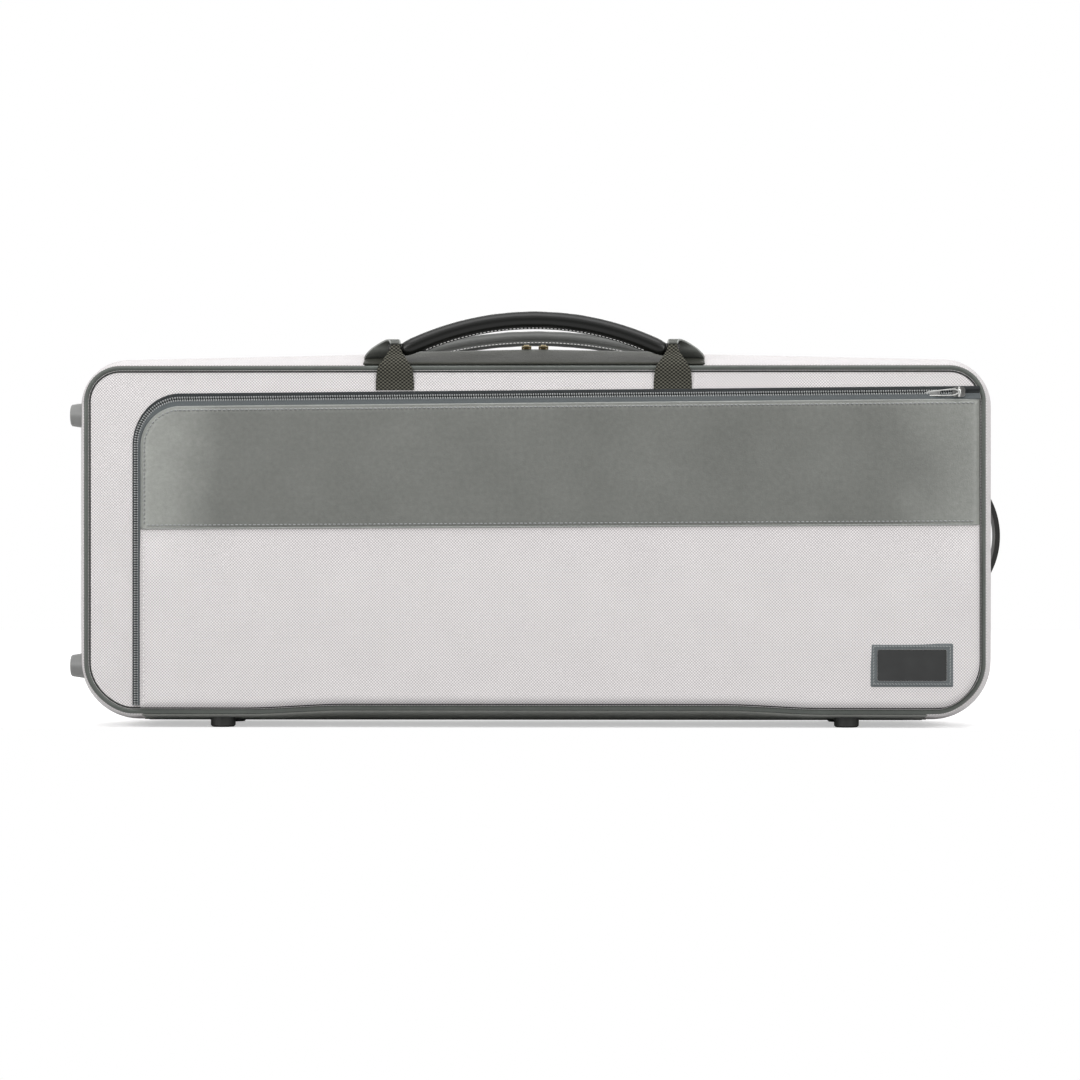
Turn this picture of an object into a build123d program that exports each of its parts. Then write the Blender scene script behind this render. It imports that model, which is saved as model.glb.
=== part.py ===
from build123d import *
import math
import os

# An oblong viola case with soft covers, standing on its spine side, in millimetres.
# X runs along the case, Y runs from the lid to the back, and Z is up.
# The lid is the front half. It swings down and forward on the spine at the bottom.

# Whole case
case_width = 810.0
case_height = 318.0
lid_depth = 55.0
body_depth = 85.0
foot_height = 7.0
split_y = -18.0
draft = 10.0
crown_flat = 5.0
crown_rise = 8.0
top_radius = 41.0
bottom_radius = 51.0

# Laminated walls and their covers
skin = 1.5
wall = 7.0
fit = 0.3
rim_gap = 0.4
piping_radius = 2.25
piping_sides = 8
piping_inset = 1.5
piping_back = 1.0
top_band_from_end = 53.0
spine_band_from_end = 60.0

# Main zip round three sides
channel_depth = 3.0
chain_gap = 0.2
chain_width = 1.7
chain_proud = 0.6
chain_sunk = 2.4
tape_outer = 0.4
tape_inner = 1.4
hinge_from_end = 57.0
hinge_tape_reach = 12.0
hinge_tape_thick = 1.0
hinge_tape_gap = 0.15
slider_length = 13.0
slider_half_width = 4.4
slider_plate = 1.8
slider_rest = 7.5
slider_flange = 1.3
bail_rise = 2.5
bail_radius = 0.9
bail_half = 4.4
bail_post = 1.7
pull_bore_gap = 0.35
pull_wall = 0.85
pull_barrel_half = 2.3
pull_length = 26.0
pull_width = 8.0
pull_thick = 1.4
pull_droop = 13.0

# Feet on the spine and studs on the left end
foot_radius = 11.0
foot_from_end = 129.0
lid_foot_depth = 30.0
body_foot_depth = 58.0
foot_edge = 1.5
stud_base_radius = 11.5
stud_tip_radius = 9.5
stud_length = 11.0
stud_from_floor = 54.0
stud_from_top = 49.0
lid_stud_depth = 30.0
body_stud_depth = 50.0

# Grip handles and the straps that hold them
handle_x = 122.0
handle_back = 10.0
handle_lift = 9.0
trunnion_radius = 5.0
wrap_radius = 7.6
wrap_half = 7.0
grip_radius = 7.0
grip_half = 106.0
grip_rise = 23.0
grip_start = 3.0
flange_reach = 13.0
flange_thick = 3.0
rear_lean = 48.0
strap_width = 34.0
strap_thick = 1.6
strap_waist = 30.0
strap_tip = 13.0
tab_base = 26.0
tab_base_thick = 3.0
tab_depth = 30.0
tab_splay = 12.0

# Side handle on the right end
side_handle_lift = 3.0
side_handle_half = 47.0
side_handle_rise = 18.0
side_handle_width = 22.0
side_handle_thick = 4.5
side_handle_depth = 48.0
side_cap_length = 18.0
side_cap_width = 28.0
side_cap_thick = 4.0

# Music pocket on the lid
pocket_from_left = 59.0
pocket_from_top = 42.0
pocket_slope = 0.5
pocket_bulge = 8.5
pocket_taper = 5.0
pocket_skin = 2.0
pocket_radius = 35.0
pocket_margin = 4.4
seam_from_pocket_top = 108.0
pocket_tape_width = 12.5
pocket_tape_thick = 0.9
pocket_tape_gap = 0.3
pocket_chain_low = 3.8
pocket_chain_high = 8.2
pocket_chain_thick = 1.7
pocket_zip_from_floor = 33.0
pocket_slider_from_right = 33.0
pocket_slider_length = 11.0
pocket_slider_half = 4.3
label_from_right = 74.5
label_from_floor = 56.0
label_width = 72.0
label_height = 38.0
label_thick = 1.2
plate_width = 61.0
plate_height = 28.0
plate_thick = 0.8

# Padded bed for the instrument
bed_depth = 26.0
base_pad = 11.5
lower_bout = 128.0
lower_bout_from_end = 155.0
upper_bout = 102.0
bout_spacing = 180.0
waist_radius = 45.0
neck_half = 32.0
neck_end_wall = 14.5
well_end_wall = 16.5
well_length = 314.0
well_low_wall = 8.5
well_height = 90.0
bed_joint_gap = 6.0
neck_rest_from_end = 255.0
neck_rest_length = 34.0
neck_rest_height = 26.0
neck_groove = 24.0
strap_over_width = 26.0
strap_over_thick = 1.5
strap_over_reach = 16.0

# Utility box above the neck
box_end_wall = 20.5
box_length = 304.0
box_top_wall = 7.5
box_height = 53.0
box_wall = 2.5
box_floor_gap = 2.0
box_lid_thick = 3.0
box_barrel_radius = 2.3
box_pin_radius = 0.95
box_lug = 3.0
knob_radius = 5.0
knob_height = 6.0

# Bow holders in the lid
lining_thick = 6.0
bow_spread = 60.0
bow_lift = -1.0
button_from_end = 120.0
button_post_radius = 6.0
button_post_height = 20.0
button_pin_radius = 2.5
button_half_length = 24.0
button_half_width = 7.0
button_thick = 5.0
button_head_radius = 5.0
button_head_thick = 1.6
sleeve_end_wall = 14.5
sleeve_length = 46.0
sleeve_width = 30.0
sleeve_depth = 17.0
sleeve_wall = 3.0

LID = -1
BODY = 1

mid_z = foot_height + case_height / 2
high_z = foot_height + case_height
lid_front = split_y - lid_depth
body_back = split_y + body_depth
end_x = case_width / 2
inner_end_x = end_x - skin - wall - draft
inner_low_z = foot_height + skin + wall + draft
inner_high_z = high_z - skin - wall - draft

# Places that follow from the sizes
front_handle_y = lid_front + handle_back
rear_handle_y = body_back - handle_back
handle_z = high_z + handle_lift
side_handle_z = mid_z + side_handle_lift
foot_x = end_x - foot_from_end
stud_low = stud_from_floor
stud_high = high_z - stud_from_top
pocket_left = -end_x + pocket_from_left
pocket_top = high_z - pocket_from_top
pocket_slider_x = end_x - pocket_slider_from_right
seam_z = pocket_top - seam_from_pocket_top
label_x = end_x - label_from_right
lower_bout_x = end_x - lower_bout_from_end
neck_end_x = -inner_end_x + neck_end_wall
neck_rest_x = -end_x + neck_rest_from_end
well_left = -inner_end_x + well_end_wall
well_right = well_left + well_length
well_low = inner_low_z + well_low_wall
well_high = well_low + well_height
bed_joint_x = well_right + bed_joint_gap
box_left = -inner_end_x + box_end_wall
box_right = box_left + box_length
box_high = inner_high_z - box_top_wall
box_low = box_high - box_height
bow_low = mid_z - bow_spread + bow_lift
bow_high = mid_z + bow_spread + bow_lift
button_x = end_x - button_from_end
sleeve_left = -inner_end_x + sleeve_end_wall


def half_depth(side):
    return lid_depth if side == LID else body_depth


def corner(centre_x, centre_z, radius, sign_x, sign_z, y, from_side):
    """A quarter circle of the outline, either from the side to the level run or back."""
    lean = radius * math.sqrt(0.5)
    beside = (centre_x + sign_x * radius, y, centre_z)
    level = (centre_x, y, centre_z + sign_z * radius)
    middle = (centre_x + sign_x * lean, y, centre_z + sign_z * lean)
    ends = (beside, level) if from_side else (level, beside)
    return ThreePointArc(ends[0], middle, ends[1])


def outline(inset, y, rise):
    """The case's outline as a face at y. rise lifts the middle of its top."""
    half = end_x - inset
    low = foot_height + inset
    high = high_z - inset
    top_r = top_radius - inset
    low_r = bottom_radius - inset
    edges = [
        Line((-half, y, low + low_r), (-half, y, high - top_r)),
        corner(-half + top_r, high - top_r, top_r, -1, 1, y, True),
        Line((-half + top_r, y, high), (0, y, high + rise)),
        Line((0, y, high + rise), (half - top_r, y, high)),
        corner(half - top_r, high - top_r, top_r, 1, 1, y, False),
        Line((half, y, high - top_r), (half, y, low + low_r)),
        corner(half - low_r, low + low_r, low_r, 1, -1, y, True),
        Line((half - low_r, y, low), (-half + low_r, y, low)),
        corner(-half + low_r, low + low_r, low_r, -1, -1, y, False),
    ]
    return Face(Wire(edges))


def section(side, inset, depth):
    """The outline of one half at a depth from the split plane."""
    share = max(0.0, (depth - crown_flat) / (half_depth(side) - crown_flat))
    return outline(inset + draft * share, split_y + side * depth, crown_rise * (1 - share))


def block(side, inset, start, stop):
    """One half's tapered solid between two depths, inset all round."""
    depths = [start, stop]
    if start < crown_flat < stop:
        depths.insert(1, crown_flat)
    return loft([section(side, inset, depth) for depth in depths], ruled=True)


def inset_at(side, depth):
    """How far the draft has drawn the walls in at a depth."""
    return draft * max(0.0, (depth - crown_flat) / (half_depth(side) - crown_flat))


def span_box(x_low, x_high, y_low, y_high, z_low, z_high):
    """A box from its lowest corner to its highest."""
    size = (x_high - x_low, y_high - y_low, z_high - z_low)
    centre = ((x_high + x_low) / 2, (y_high + y_low) / 2, (z_high + z_low) / 2)
    return Pos(*centre) * Box(*size)


def slab(x_low, x_high, z_low, z_high):
    """A box through the whole depth of the case."""
    reach = lid_depth + body_depth
    return span_box(x_low, x_high, split_y - reach, split_y + reach, z_low, z_high)


def rod_x(radius, x_low, x_high, y, z):
    return Pos((x_low + x_high) / 2, y, z) * Rot(0, 90, 0) * Cylinder(radius, x_high - x_low)


def rod_y(radius, x, y_low, y_high, z):
    return Pos(x, (y_low + y_high) / 2, z) * Rot(90, 0, 0) * Cylinder(radius, y_high - y_low)


def rod_z(radius, x, y, z_low, z_high):
    return Pos(x, y, (z_low + z_high) / 2) * Cylinder(radius, z_high - z_low)


# Clamshell halves


def piping(side):
    """The round cord sewn into the edge between the wall cover and the panel."""
    path = section(side, piping_inset, half_depth(side) - piping_back).outer_wire()
    start = path @ 0
    profile = Plane(origin=start, z_dir=path % 0) * RegularPolygon(piping_radius, piping_sides)
    return sweep(profile, path=path, transition=Transition.RIGHT)


def cavity(side, inset=0.0):
    """The room inside one half, past its rim."""
    floor = half_depth(side) - skin - wall
    return block(side, skin + wall + inset, -1.0, floor - inset)


def shell(side, cord):
    """The laminated tray, with a channel along its rim under the zip."""
    stop = half_depth(side) - skin
    rim = block(side, skin + channel_depth, rim_gap, crown_flat)
    tray = block(side, skin, crown_flat, stop)
    return rim + tray - cavity(side) - cord


def cover_ring(side, cord):
    """The fabric or leather skin round the wall of one half."""
    stop = half_depth(side) - piping_back
    return block(side, 0, crown_flat, stop) - block(side, skin, crown_flat - 1, stop + 1) - cord


def top_band_zone():
    return slab(top_band_from_end - end_x, end_x - top_band_from_end, mid_z, high_z + 2 * crown_rise)


def spine_band_zone():
    return slab(spine_band_from_end - end_x, end_x - spine_band_from_end, 0, mid_z)


def panel(side, cord):
    """The flat cover of the half's outer face, sewn in at the piping."""
    stop = half_depth(side)
    return block(side, piping_inset, stop - skin, stop) - cord


def hinge_zone():
    return slab(hinge_from_end - end_x, end_x - hinge_from_end, 0, mid_z)


def zip_tape(side):
    tape = block(side, tape_outer, chain_gap + chain_width, crown_flat)
    tape -= block(side, tape_inner, 0, crown_flat + 1)
    return tape - hinge_zone()


def zip_chain(side):
    stop = chain_gap + chain_width
    chain = block(side, -chain_proud, chain_gap, stop)
    chain -= block(side, chain_sunk, 0, stop + 1)
    return chain - hinge_zone()


def hinge_tape(side):
    """One half of the textile strip that carries the lid along the spine."""
    tape = block(side, -hinge_tape_thick, hinge_tape_gap, hinge_tape_reach)
    tape -= block(side, 0, -1, hinge_tape_reach + 1)
    return tape & hinge_zone()


def hull(side):
    """The closed outer form of one half, for seating what stands on it."""
    return block(side, 0, 0, half_depth(side))


def feet(side, depth, form):
    y = split_y + side * depth
    pair = []
    for x in (-foot_x, foot_x):
        foot = rod_z(foot_radius, x, y, 0, 2 * foot_height + draft)
        foot = chamfer(foot.edges().group_by(Axis.Z)[0], foot_edge)
        pair.append(foot - form)
    return Compound(children=pair)


def studs(side, depth, form):
    """Truncated cones on the left end, for standing the case upright."""
    y = split_y + side * depth
    surface = -end_x + inset_at(side, depth)
    buried = 2.0
    length = stud_length + buried
    pair = []
    for z in (stud_low, stud_high):
        cone = Cone(stud_base_radius, stud_tip_radius, length)
        cone = chamfer(cone.edges().group_by(Axis.Z)[-1], 1.0)
        placed = Pos(surface + buried - length / 2, y, z) * Rot(0, -90, 0) * cone
        pair.append(placed - form)
    return Compound(children=pair)


# Grip handles


def grip(y):
    """A rolled grip with its stitched flange, hung on two trunnions."""
    radius = (grip_half ** 2 + grip_rise ** 2) / (2 * grip_rise)
    half_angle = math.degrees(math.asin(grip_half / radius))
    centre_z = handle_z + grip_start + grip_rise - radius
    axis = Axis((0, y, centre_z), (0, 1, 0))
    roll = Circle(grip_radius)
    flange = Pos(-flange_reach / 2, 0) * Rectangle(flange_reach, flange_thick)
    upright = Plane(origin=(0, y, centre_z + radius), x_dir=(0, 0, 1), z_dir=(1, 0, 0))
    profile = (upright * (roll + flange)).rotate(axis, -half_angle)
    tube = revolve(profile, axis, 2 * half_angle)
    end_z = handle_z + grip_start
    ends = Part()
    for sign in (-1, 1):
        ends += Pos(sign * grip_half, y, end_z) * Sphere(grip_radius)
        inner = sign * (grip_half - 2)
        outer = sign * (handle_x + wrap_half - fit)
        ends += rod_x(trunnion_radius, min(inner, outer), max(inner, outer), y, handle_z)
    return tube + ends


def strap_leg(side, x, y, base_z):
    """The webbing leg: up the panel from its base, over the piping and round the handle's end."""
    face = split_y + side * half_depth(side)
    out = side * strap_thick
    piping_front = face + side * (piping_radius - piping_back + fit)
    rim_z = high_z - draft
    levels = [
        (base_z, strap_width, face + side * 0.05 + out / 2, strap_thick),
        (rim_z, strap_waist, piping_front + out / 2, strap_thick),
        (handle_z - 2.0, strap_tip, y + side * (wrap_radius - 1.6), 2 * strap_thick),
    ]
    faces = []
    for z, width, middle_y, thick in levels:
        faces.append(Pos(x, middle_y, z) * Rectangle(width, thick))
    leg = loft(faces, ruled=True)
    wrap = rod_x(wrap_radius, x - wrap_half, x + wrap_half, y, handle_z)
    bore = rod_x(trunnion_radius + fit, x - wrap_width(), x + wrap_width(), y, handle_z)
    return leg + wrap - bore


def wrap_width():
    return wrap_half + 1.0


def straps(side, y, base_height):
    pair = [strap_leg(side, sign * handle_x, y, base_height(sign * handle_x)) for sign in (-1, 1)]
    return Compound(children=pair)


def tabs(side, y, form):
    """The leather legs that run from the handle's ends down to the top band."""
    base_y = split_y + side * tab_depth
    base_z = high_z - draft
    pair = []
    for sign in (-1, 1):
        x = sign * handle_x
        foot = Pos(x + sign * tab_splay, base_y, base_z) * Rectangle(tab_base, tab_base_thick * 2)
        top = Pos(x, y - side * 2.0, handle_z + 3.0) * Rectangle(strap_tip, tab_base_thick)
        leg = loft([foot, top], ruled=True)
        reach = handle_x + 2 * tab_base
        leg -= rod_x(wrap_radius, -reach, reach, y, handle_z)
        pair.append(leg - form)
    return Compound(children=pair)


def side_handle(form):
    """A moulded strap handle, bowed out from the right end."""
    y = split_y + side_handle_depth
    wall_x = end_x - inset_at(BODY, side_handle_depth)
    radius = (side_handle_half ** 2 + side_handle_rise ** 2) / (2 * side_handle_rise)
    half_angle = math.degrees(math.asin(side_handle_half / radius))
    centre_x = wall_x + side_handle_rise - radius
    axis = Axis((centre_x, y, side_handle_z), (0, 1, 0))
    start = Plane(origin=(centre_x + radius, y, side_handle_z), x_dir=(1, 0, 0), z_dir=(0, 0, -1))
    profile = start * Rectangle(side_handle_thick, side_handle_width)
    bow = revolve(profile.rotate(axis, -half_angle), axis, 2 * half_angle)
    return bow - form


def side_caps(form, bow):
    """The clamped end plates of the side handle."""
    y = split_y + side_handle_depth
    wall_x = end_x - inset_at(BODY, side_handle_depth)
    pair = []
    for sign in (-1, 1):
        z = side_handle_z + sign * (side_handle_half + side_cap_length / 2 - 4.0)
        plate = Pos(wall_x + side_cap_thick / 2 - 1.0, y, z) * Box(
            side_cap_thick + 2.0, side_cap_width, side_cap_length
        )
        plate = fillet(plate.edges().filter_by(Axis.X), 4.0)
        pair.append(plate - form - bow)
    return Compound(children=pair)


# Music pocket


def pocket_height(x):
    """Height of the pocket's upper edge, which climbs a little to the right."""
    return pocket_top + math.tan(math.radians(pocket_slope)) * (x - pocket_left - pocket_radius)


def pocket_outline(depth, grow, inset):
    """The pocket's outline. grow widens its zipped sides, inset draws all sides in."""
    y = split_y - depth
    left = pocket_left - grow + inset
    right = end_x - draft - pocket_margin - inset
    low = foot_height + draft + pocket_margin + inset
    radius = pocket_radius + grow - inset
    low_r = bottom_radius - draft - pocket_margin - inset
    top_left = pocket_height(left + radius) + grow - inset
    top_right = pocket_height(right) + grow - inset
    lean = low_r * math.sqrt(0.5)
    curl = radius * math.sqrt(0.5)
    edges = [
        Line((left, y, low), (left, y, top_left - radius)),
        ThreePointArc(
            (left, y, top_left - radius),
            (left + radius - curl, y, top_left - radius + curl),
            (left + radius, y, top_left),
        ),
        Line((left + radius, y, top_left), (right, y, top_right)),
        Line((right, y, top_right), (right, y, low + low_r)),
        ThreePointArc(
            (right, y, low + low_r),
            (right - low_r + lean, y, low + low_r - lean),
            (right - low_r, y, low),
        ),
        Line((right - low_r, y, low), (left, y, low)),
    ]
    return Face(Wire(edges))


def pocket_prism(grow, start, stop):
    return loft([pocket_outline(start, grow, 0), pocket_outline(stop, grow, 0)], ruled=True)


def front_window():
    """The room in front of the lid's panel, inside its piping."""
    inset = draft + pocket_margin
    stop = lid_depth + 2 * pocket_bulge
    return loft([outline(inset, split_y - lid_depth, 0), outline(inset, split_y - stop, 0)], ruled=True)


def pocket_tray():
    """The bulging front of the music pocket, hollow behind."""
    front = lid_depth + pocket_bulge
    outer = loft([pocket_outline(lid_depth, 0, 0), pocket_outline(front, 0, pocket_taper)], ruled=True)
    room = loft(
        [
            pocket_outline(lid_depth - 1, 0, pocket_skin),
            pocket_outline(front - pocket_skin, 0, pocket_taper + pocket_skin),
        ],
        ruled=True,
    )
    return (outer - room) & front_window()


def pocket_tape():
    stop = lid_depth + pocket_tape_thick
    tape = pocket_prism(pocket_tape_width, lid_depth, stop)
    tape -= pocket_prism(pocket_tape_gap, lid_depth - 1, stop + 1)
    return (tape & front_window()) - slab(-case_width, case_width, 0, pocket_zip_from_floor)


def pocket_chain():
    start = lid_depth + pocket_tape_thick
    stop = start + pocket_chain_thick
    chain = pocket_prism(pocket_chain_high, start, stop)
    chain -= pocket_prism(pocket_chain_low, start - 1, stop + 1)
    chain -= slab(-case_width, case_width, 0, pocket_zip_from_floor)
    chain_end = pocket_slider_x + pocket_slider_length / 2 + 1.0
    return chain - slab(chain_end, case_width, 0, high_z)


def label(width, height, thick, depth, radius):
    y = split_y - depth - thick / 2
    plate = Pos(label_x, y, label_from_floor) * Box(width, thick, height)
    return fillet(plate.edges().filter_by(Axis.Y), radius)


# Zip sliders and pulls, drawn at the origin: travel along X, outward along Z


def bail_height():
    return chain_proud + fit + slider_plate + bail_rise


def bail_form(turn):
    """The bar that carries the pull, on its two posts."""
    bar_z = bail_height()
    form = rod_x(bail_radius, -bail_half, bail_half, 0, bar_z)
    base = bar_z - bail_rise - 0.2
    for sign in (-1, 1):
        inner = sign * (bail_half - bail_post)
        outer = sign * bail_half
        form += span_box(min(inner, outer), max(inner, outer), -bail_radius, bail_radius, base, bar_z)
    return Rot(0, 0, turn) * form


def slider_form(length, half_width, flanges, turn):
    """A plate over the chain with turned-down guides and a bar for the pull."""
    plate_low = chain_proud + fit
    plate_high = plate_low + slider_plate
    form = span_box(-length / 2, length / 2, -half_width, half_width, plate_low, plate_high)
    form = fillet(form.edges().filter_by(Axis.Z), 2.4)
    for sign in flanges:
        near = sign * (half_width - slider_flange)
        far = sign * half_width
        low = fit - tape_outer
        reach = length / 2 - 2.4
        form += span_box(-reach, reach, min(near, far), max(near, far), low, plate_high)
    return form + bail_form(turn)


def pull_form(length, droop):
    """A flat tag on a barrel round the bar, pointing along Y and drooping."""
    bar_z = bail_height()
    bore = bail_radius + pull_bore_gap
    outer = bore + pull_wall
    half = pull_barrel_half
    tag = span_box(-pull_width / 2, pull_width / 2, outer + 1.5, length, -pull_thick / 2, pull_thick / 2)
    tag = fillet(tag.edges().filter_by(Axis.Z), 2.0)
    neck = span_box(-half, half, 0, outer + 3.0, -pull_thick / 2, pull_thick / 2)
    hole = Pos(0, length - 5.0, 0) * Cylinder(1.6, 4 * pull_thick)
    form = tag - hole + neck + rod_x(outer, -half, half, 0, 0) - rod_x(bore, -half - 1, half + 1, 0, 0)
    return Pos(0, 0, bar_z) * Rot(-droop, 0, 0) * form


def crown_place(x):
    """The place on the crown's sloping top run at x, with travel along the run."""
    run = end_x - top_radius
    z = high_z + crown_rise * (1 - abs(x) / run)
    tilt = math.degrees(math.atan(crown_rise / run))
    return Pos(x, split_y, z) * Rot(0, math.copysign(tilt, x), 0)


def pocket_slider_place():
    """The place on the pocket's chain, with the outward side turned to the front."""
    y = lid_front - pocket_tape_thick - pocket_chain_thick + chain_proud
    z = pocket_height(pocket_slider_x) + (pocket_chain_low + pocket_chain_high) / 2
    return Pos(pocket_slider_x, y, z) * Rot(0, -pocket_slope, 0) * Rot(90, 0, 0)


# Instrument bed and the box beside the neck


def waist_centre():
    """Where a waist circle touches both bouts, from the lower bout's centre."""
    near = lower_bout + waist_radius
    far = upper_bout + waist_radius
    along = (near ** 2 + bout_spacing ** 2 - far ** 2) / (2 * bout_spacing)
    return along, math.sqrt(near ** 2 - along ** 2)


def viola_recess(y_low, y_high):
    """The hourglass hollow for the instrument's body, with the neck's channel."""
    upper_x = lower_bout_x - bout_spacing
    along, across = waist_centre()
    waist_x = lower_bout_x - along
    form = rod_y(lower_bout, lower_bout_x, y_low, y_high, mid_z)
    form += rod_y(upper_bout, upper_x, y_low, y_high, mid_z)
    corners = [
        (lower_bout_x, y_low, mid_z),
        (waist_x, y_low, mid_z + across),
        (upper_x, y_low, mid_z),
        (waist_x, y_low, mid_z - across),
    ]
    bridge = Face(Wire.make_polygon([Vector(*spot) for spot in corners]))
    bridge = extrude(bridge, amount=y_high - y_low, dir=(0, 1, 0))
    for sign in (-1, 1):
        bridge -= rod_y(waist_radius, waist_x, y_low - 1, y_high + 1, mid_z + sign * across)
    channel = span_box(neck_end_x, upper_x, y_low, y_high, mid_z - neck_half, mid_z + neck_half)
    channel = fillet(channel.edges().filter_by(Axis.Y).sort_by(Axis.X)[:2], 20.0)
    return form + bridge + channel


def bed_floor_depth():
    return body_depth - skin - wall - base_pad


def bed_base():
    stop = body_depth - skin - wall
    return block(BODY, skin + wall + fit, bed_floor_depth(), stop)


def bed_foam():
    """The padded bed: a deep foam frame cut for the instrument, a well and the box."""
    front_y = split_y + bed_depth
    floor_y = split_y + bed_floor_depth()
    foam = block(BODY, skin + wall + fit, bed_depth, bed_floor_depth())
    foam -= viola_recess(front_y - 1, floor_y + 1)
    well = span_box(well_left, well_right, front_y - 1, floor_y + 1, well_low, well_high)
    foam -= fillet(well.edges().filter_by(Axis.Y), 14.0)
    slot = span_box(
        box_left - fit, box_right + fit, front_y - 1, floor_y + 1, box_low - fit, box_high + fit
    )
    return foam - slot


def bed_end_zone():
    """The end of the bed beside the neck, which is a block of foam of its own."""
    return slab(-case_width, bed_joint_x, -high_z, 2 * high_z)


def bed_upper_zone():
    """Above the middle of the bouts, where the rest of the bed is joined from two blocks."""
    return slab(-case_width, case_width, mid_z, 2 * high_z)


def neck_rest():
    """A padded saddle in the neck's channel."""
    floor_y = split_y + bed_floor_depth()
    half = neck_half - fit
    pad = span_box(
        neck_rest_x - neck_rest_length / 2,
        neck_rest_x + neck_rest_length / 2,
        floor_y - neck_rest_height,
        floor_y,
        mid_z - half,
        mid_z + half,
    )
    groove_y = floor_y - neck_rest_height - 6.0
    reach = neck_rest_length
    groove = rod_x(neck_groove, neck_rest_x - reach, neck_rest_x + reach, groove_y, mid_z)
    return pad - groove


def neck_strap():
    """The closing strap across the neck's channel, on the bed's face."""
    front_y = split_y + bed_depth
    reach = neck_half + strap_over_reach
    strap = span_box(
        neck_rest_x - strap_over_width / 2,
        neck_rest_x + strap_over_width / 2,
        front_y - strap_over_thick,
        front_y,
        mid_z - reach,
        mid_z + reach,
    )
    return fillet(strap.edges().filter_by(Axis.Y), 4.0)


def box_hinge_place():
    """Centre of the utility lid's hinge pin, as y and z."""
    front_y = split_y + bed_depth
    return front_y - box_lug - fit, box_high - box_barrel_radius


def utility_box():
    """A lined box let into the foam, with two lugs and the pin for its lid."""
    front_y = split_y + bed_depth
    floor_y = split_y + bed_floor_depth() - box_floor_gap
    case = span_box(box_left, box_right, front_y, floor_y, box_low, box_high)
    room = span_box(
        box_left + box_wall,
        box_right - box_wall,
        front_y - 1,
        floor_y - box_wall,
        box_low + box_wall,
        box_high - box_wall,
    )
    pin_y, pin_z = box_hinge_place()
    lugs = Part()
    for x in (box_left, box_right - box_lug):
        ear = rod_x(box_barrel_radius, x, x + box_lug, pin_y, pin_z)
        ear += span_box(
            x, x + box_lug, pin_y, front_y, pin_z - box_barrel_radius, pin_z + box_barrel_radius
        )
        lugs += ear
    pin = rod_x(box_pin_radius, box_left, box_right, pin_y, pin_z)
    return case - room + lugs + pin


def utility_lid():
    """The box's lid: a flap hung from the pin, with a knob."""
    pin_y, pin_z = box_hinge_place()
    left = box_left + box_lug + fit
    right = box_right - box_lug - fit
    front_y = split_y + bed_depth
    plate_back = front_y - fit
    plate = span_box(left, right, plate_back - box_lid_thick, plate_back, box_low + 1.0, pin_z)
    plate = fillet(plate.edges().filter_by(Axis.Y).group_by(Axis.Z)[0], 6.0)
    relief = rod_x(box_barrel_radius, left - 1, right + 1, pin_y, pin_z)
    barrel = rod_x(box_barrel_radius, left, right, pin_y, pin_z)
    bore = rod_x(box_pin_radius + fit, left - 1, right + 1, pin_y, pin_z)
    knob_z = box_low + 10.0
    knob_x = (left + right) / 2
    knob_back = plate_back - box_lid_thick
    knob = rod_y(knob_radius, knob_x, knob_back - knob_height, knob_back, knob_z)
    knob = chamfer(knob.edges().group_by(Axis.Y)[0], 1.5)
    return plate - relief + barrel - bore + knob


# Lid lining and bow holders


def lining_depth():
    """Depth of the lining's face from the split plane."""
    return lid_depth - skin - wall - lining_thick


def lid_lining():
    stop = lid_depth - skin - wall
    return block(LID, skin + wall + fit, lining_depth(), stop)


def button_posts():
    """Fixed posts with pins, one for each bow's turn button."""
    face = split_y - lining_depth()
    seat = face + button_post_height
    head = seat + button_thick + 2 * fit
    pair = []
    for z in (bow_low, bow_high):
        post = rod_y(button_post_radius, button_x, face, seat, z)
        pin = rod_y(button_pin_radius, button_x, face, head + button_head_thick, z)
        cap = rod_y(button_head_radius, button_x, head, head + button_head_thick, z)
        pair.append(post + pin + cap)
    return Compound(children=pair)


def turn_button(z):
    """A long rounded button that turns across the bow's stick."""
    low = split_y - lining_depth() + button_post_height + fit
    high = low + button_thick
    reach = button_half_length - button_half_width
    bar = span_box(button_x - reach, button_x + reach, low, high, z - button_half_width, z + button_half_width)
    for sign in (-1, 1):
        bar += rod_y(button_half_width, button_x + sign * reach, low, high, z)
    return bar - rod_y(button_pin_radius + fit, button_x, low - 1, high + 1, z)


def tip_sleeves():
    """Padded sleeves for the tips of the bows, open to the right."""
    face = split_y - lining_depth()
    pair = []
    for z in (bow_low, bow_high):
        half = sleeve_width / 2
        right = sleeve_left + sleeve_length
        form = span_box(sleeve_left, right, face, face + sleeve_depth, z - half, z + half)
        form = fillet(form.edges().filter_by(Axis.X).group_by(Axis.Y)[-1], 6.0)
        room = span_box(
            sleeve_left + sleeve_wall,
            right + 1,
            face + sleeve_wall,
            face + sleeve_depth - sleeve_wall,
            z - half + sleeve_wall,
            z + half - sleeve_wall,
        )
        pair.append(form - room)
    return Compound(children=pair)


def split_covers(prefix, ring):
    """The wall cover, cut into its leather bands and its fabric ends."""
    return {
        prefix + "_top_band": ring & top_band_zone(),
        prefix + "_spine_band": ring & spine_band_zone(),
        prefix + "_end_covers": ring - top_band_zone() - spine_band_zone(),
    }


def shared_half(side, prefix, face_name):
    """The pieces that both halves have."""
    cord = piping(side)
    pieces = {
        prefix + "_shell": shell(side, cord),
        face_name: panel(side, cord),
        prefix + "_piping": cord,
        prefix + "_zip_tape": zip_tape(side),
        prefix + "_zip_teeth": zip_chain(side),
        prefix + "_hinge_tape": hinge_tape(side),
    }
    pieces.update(split_covers(prefix, cover_ring(side, cord)))
    return pieces


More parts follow.
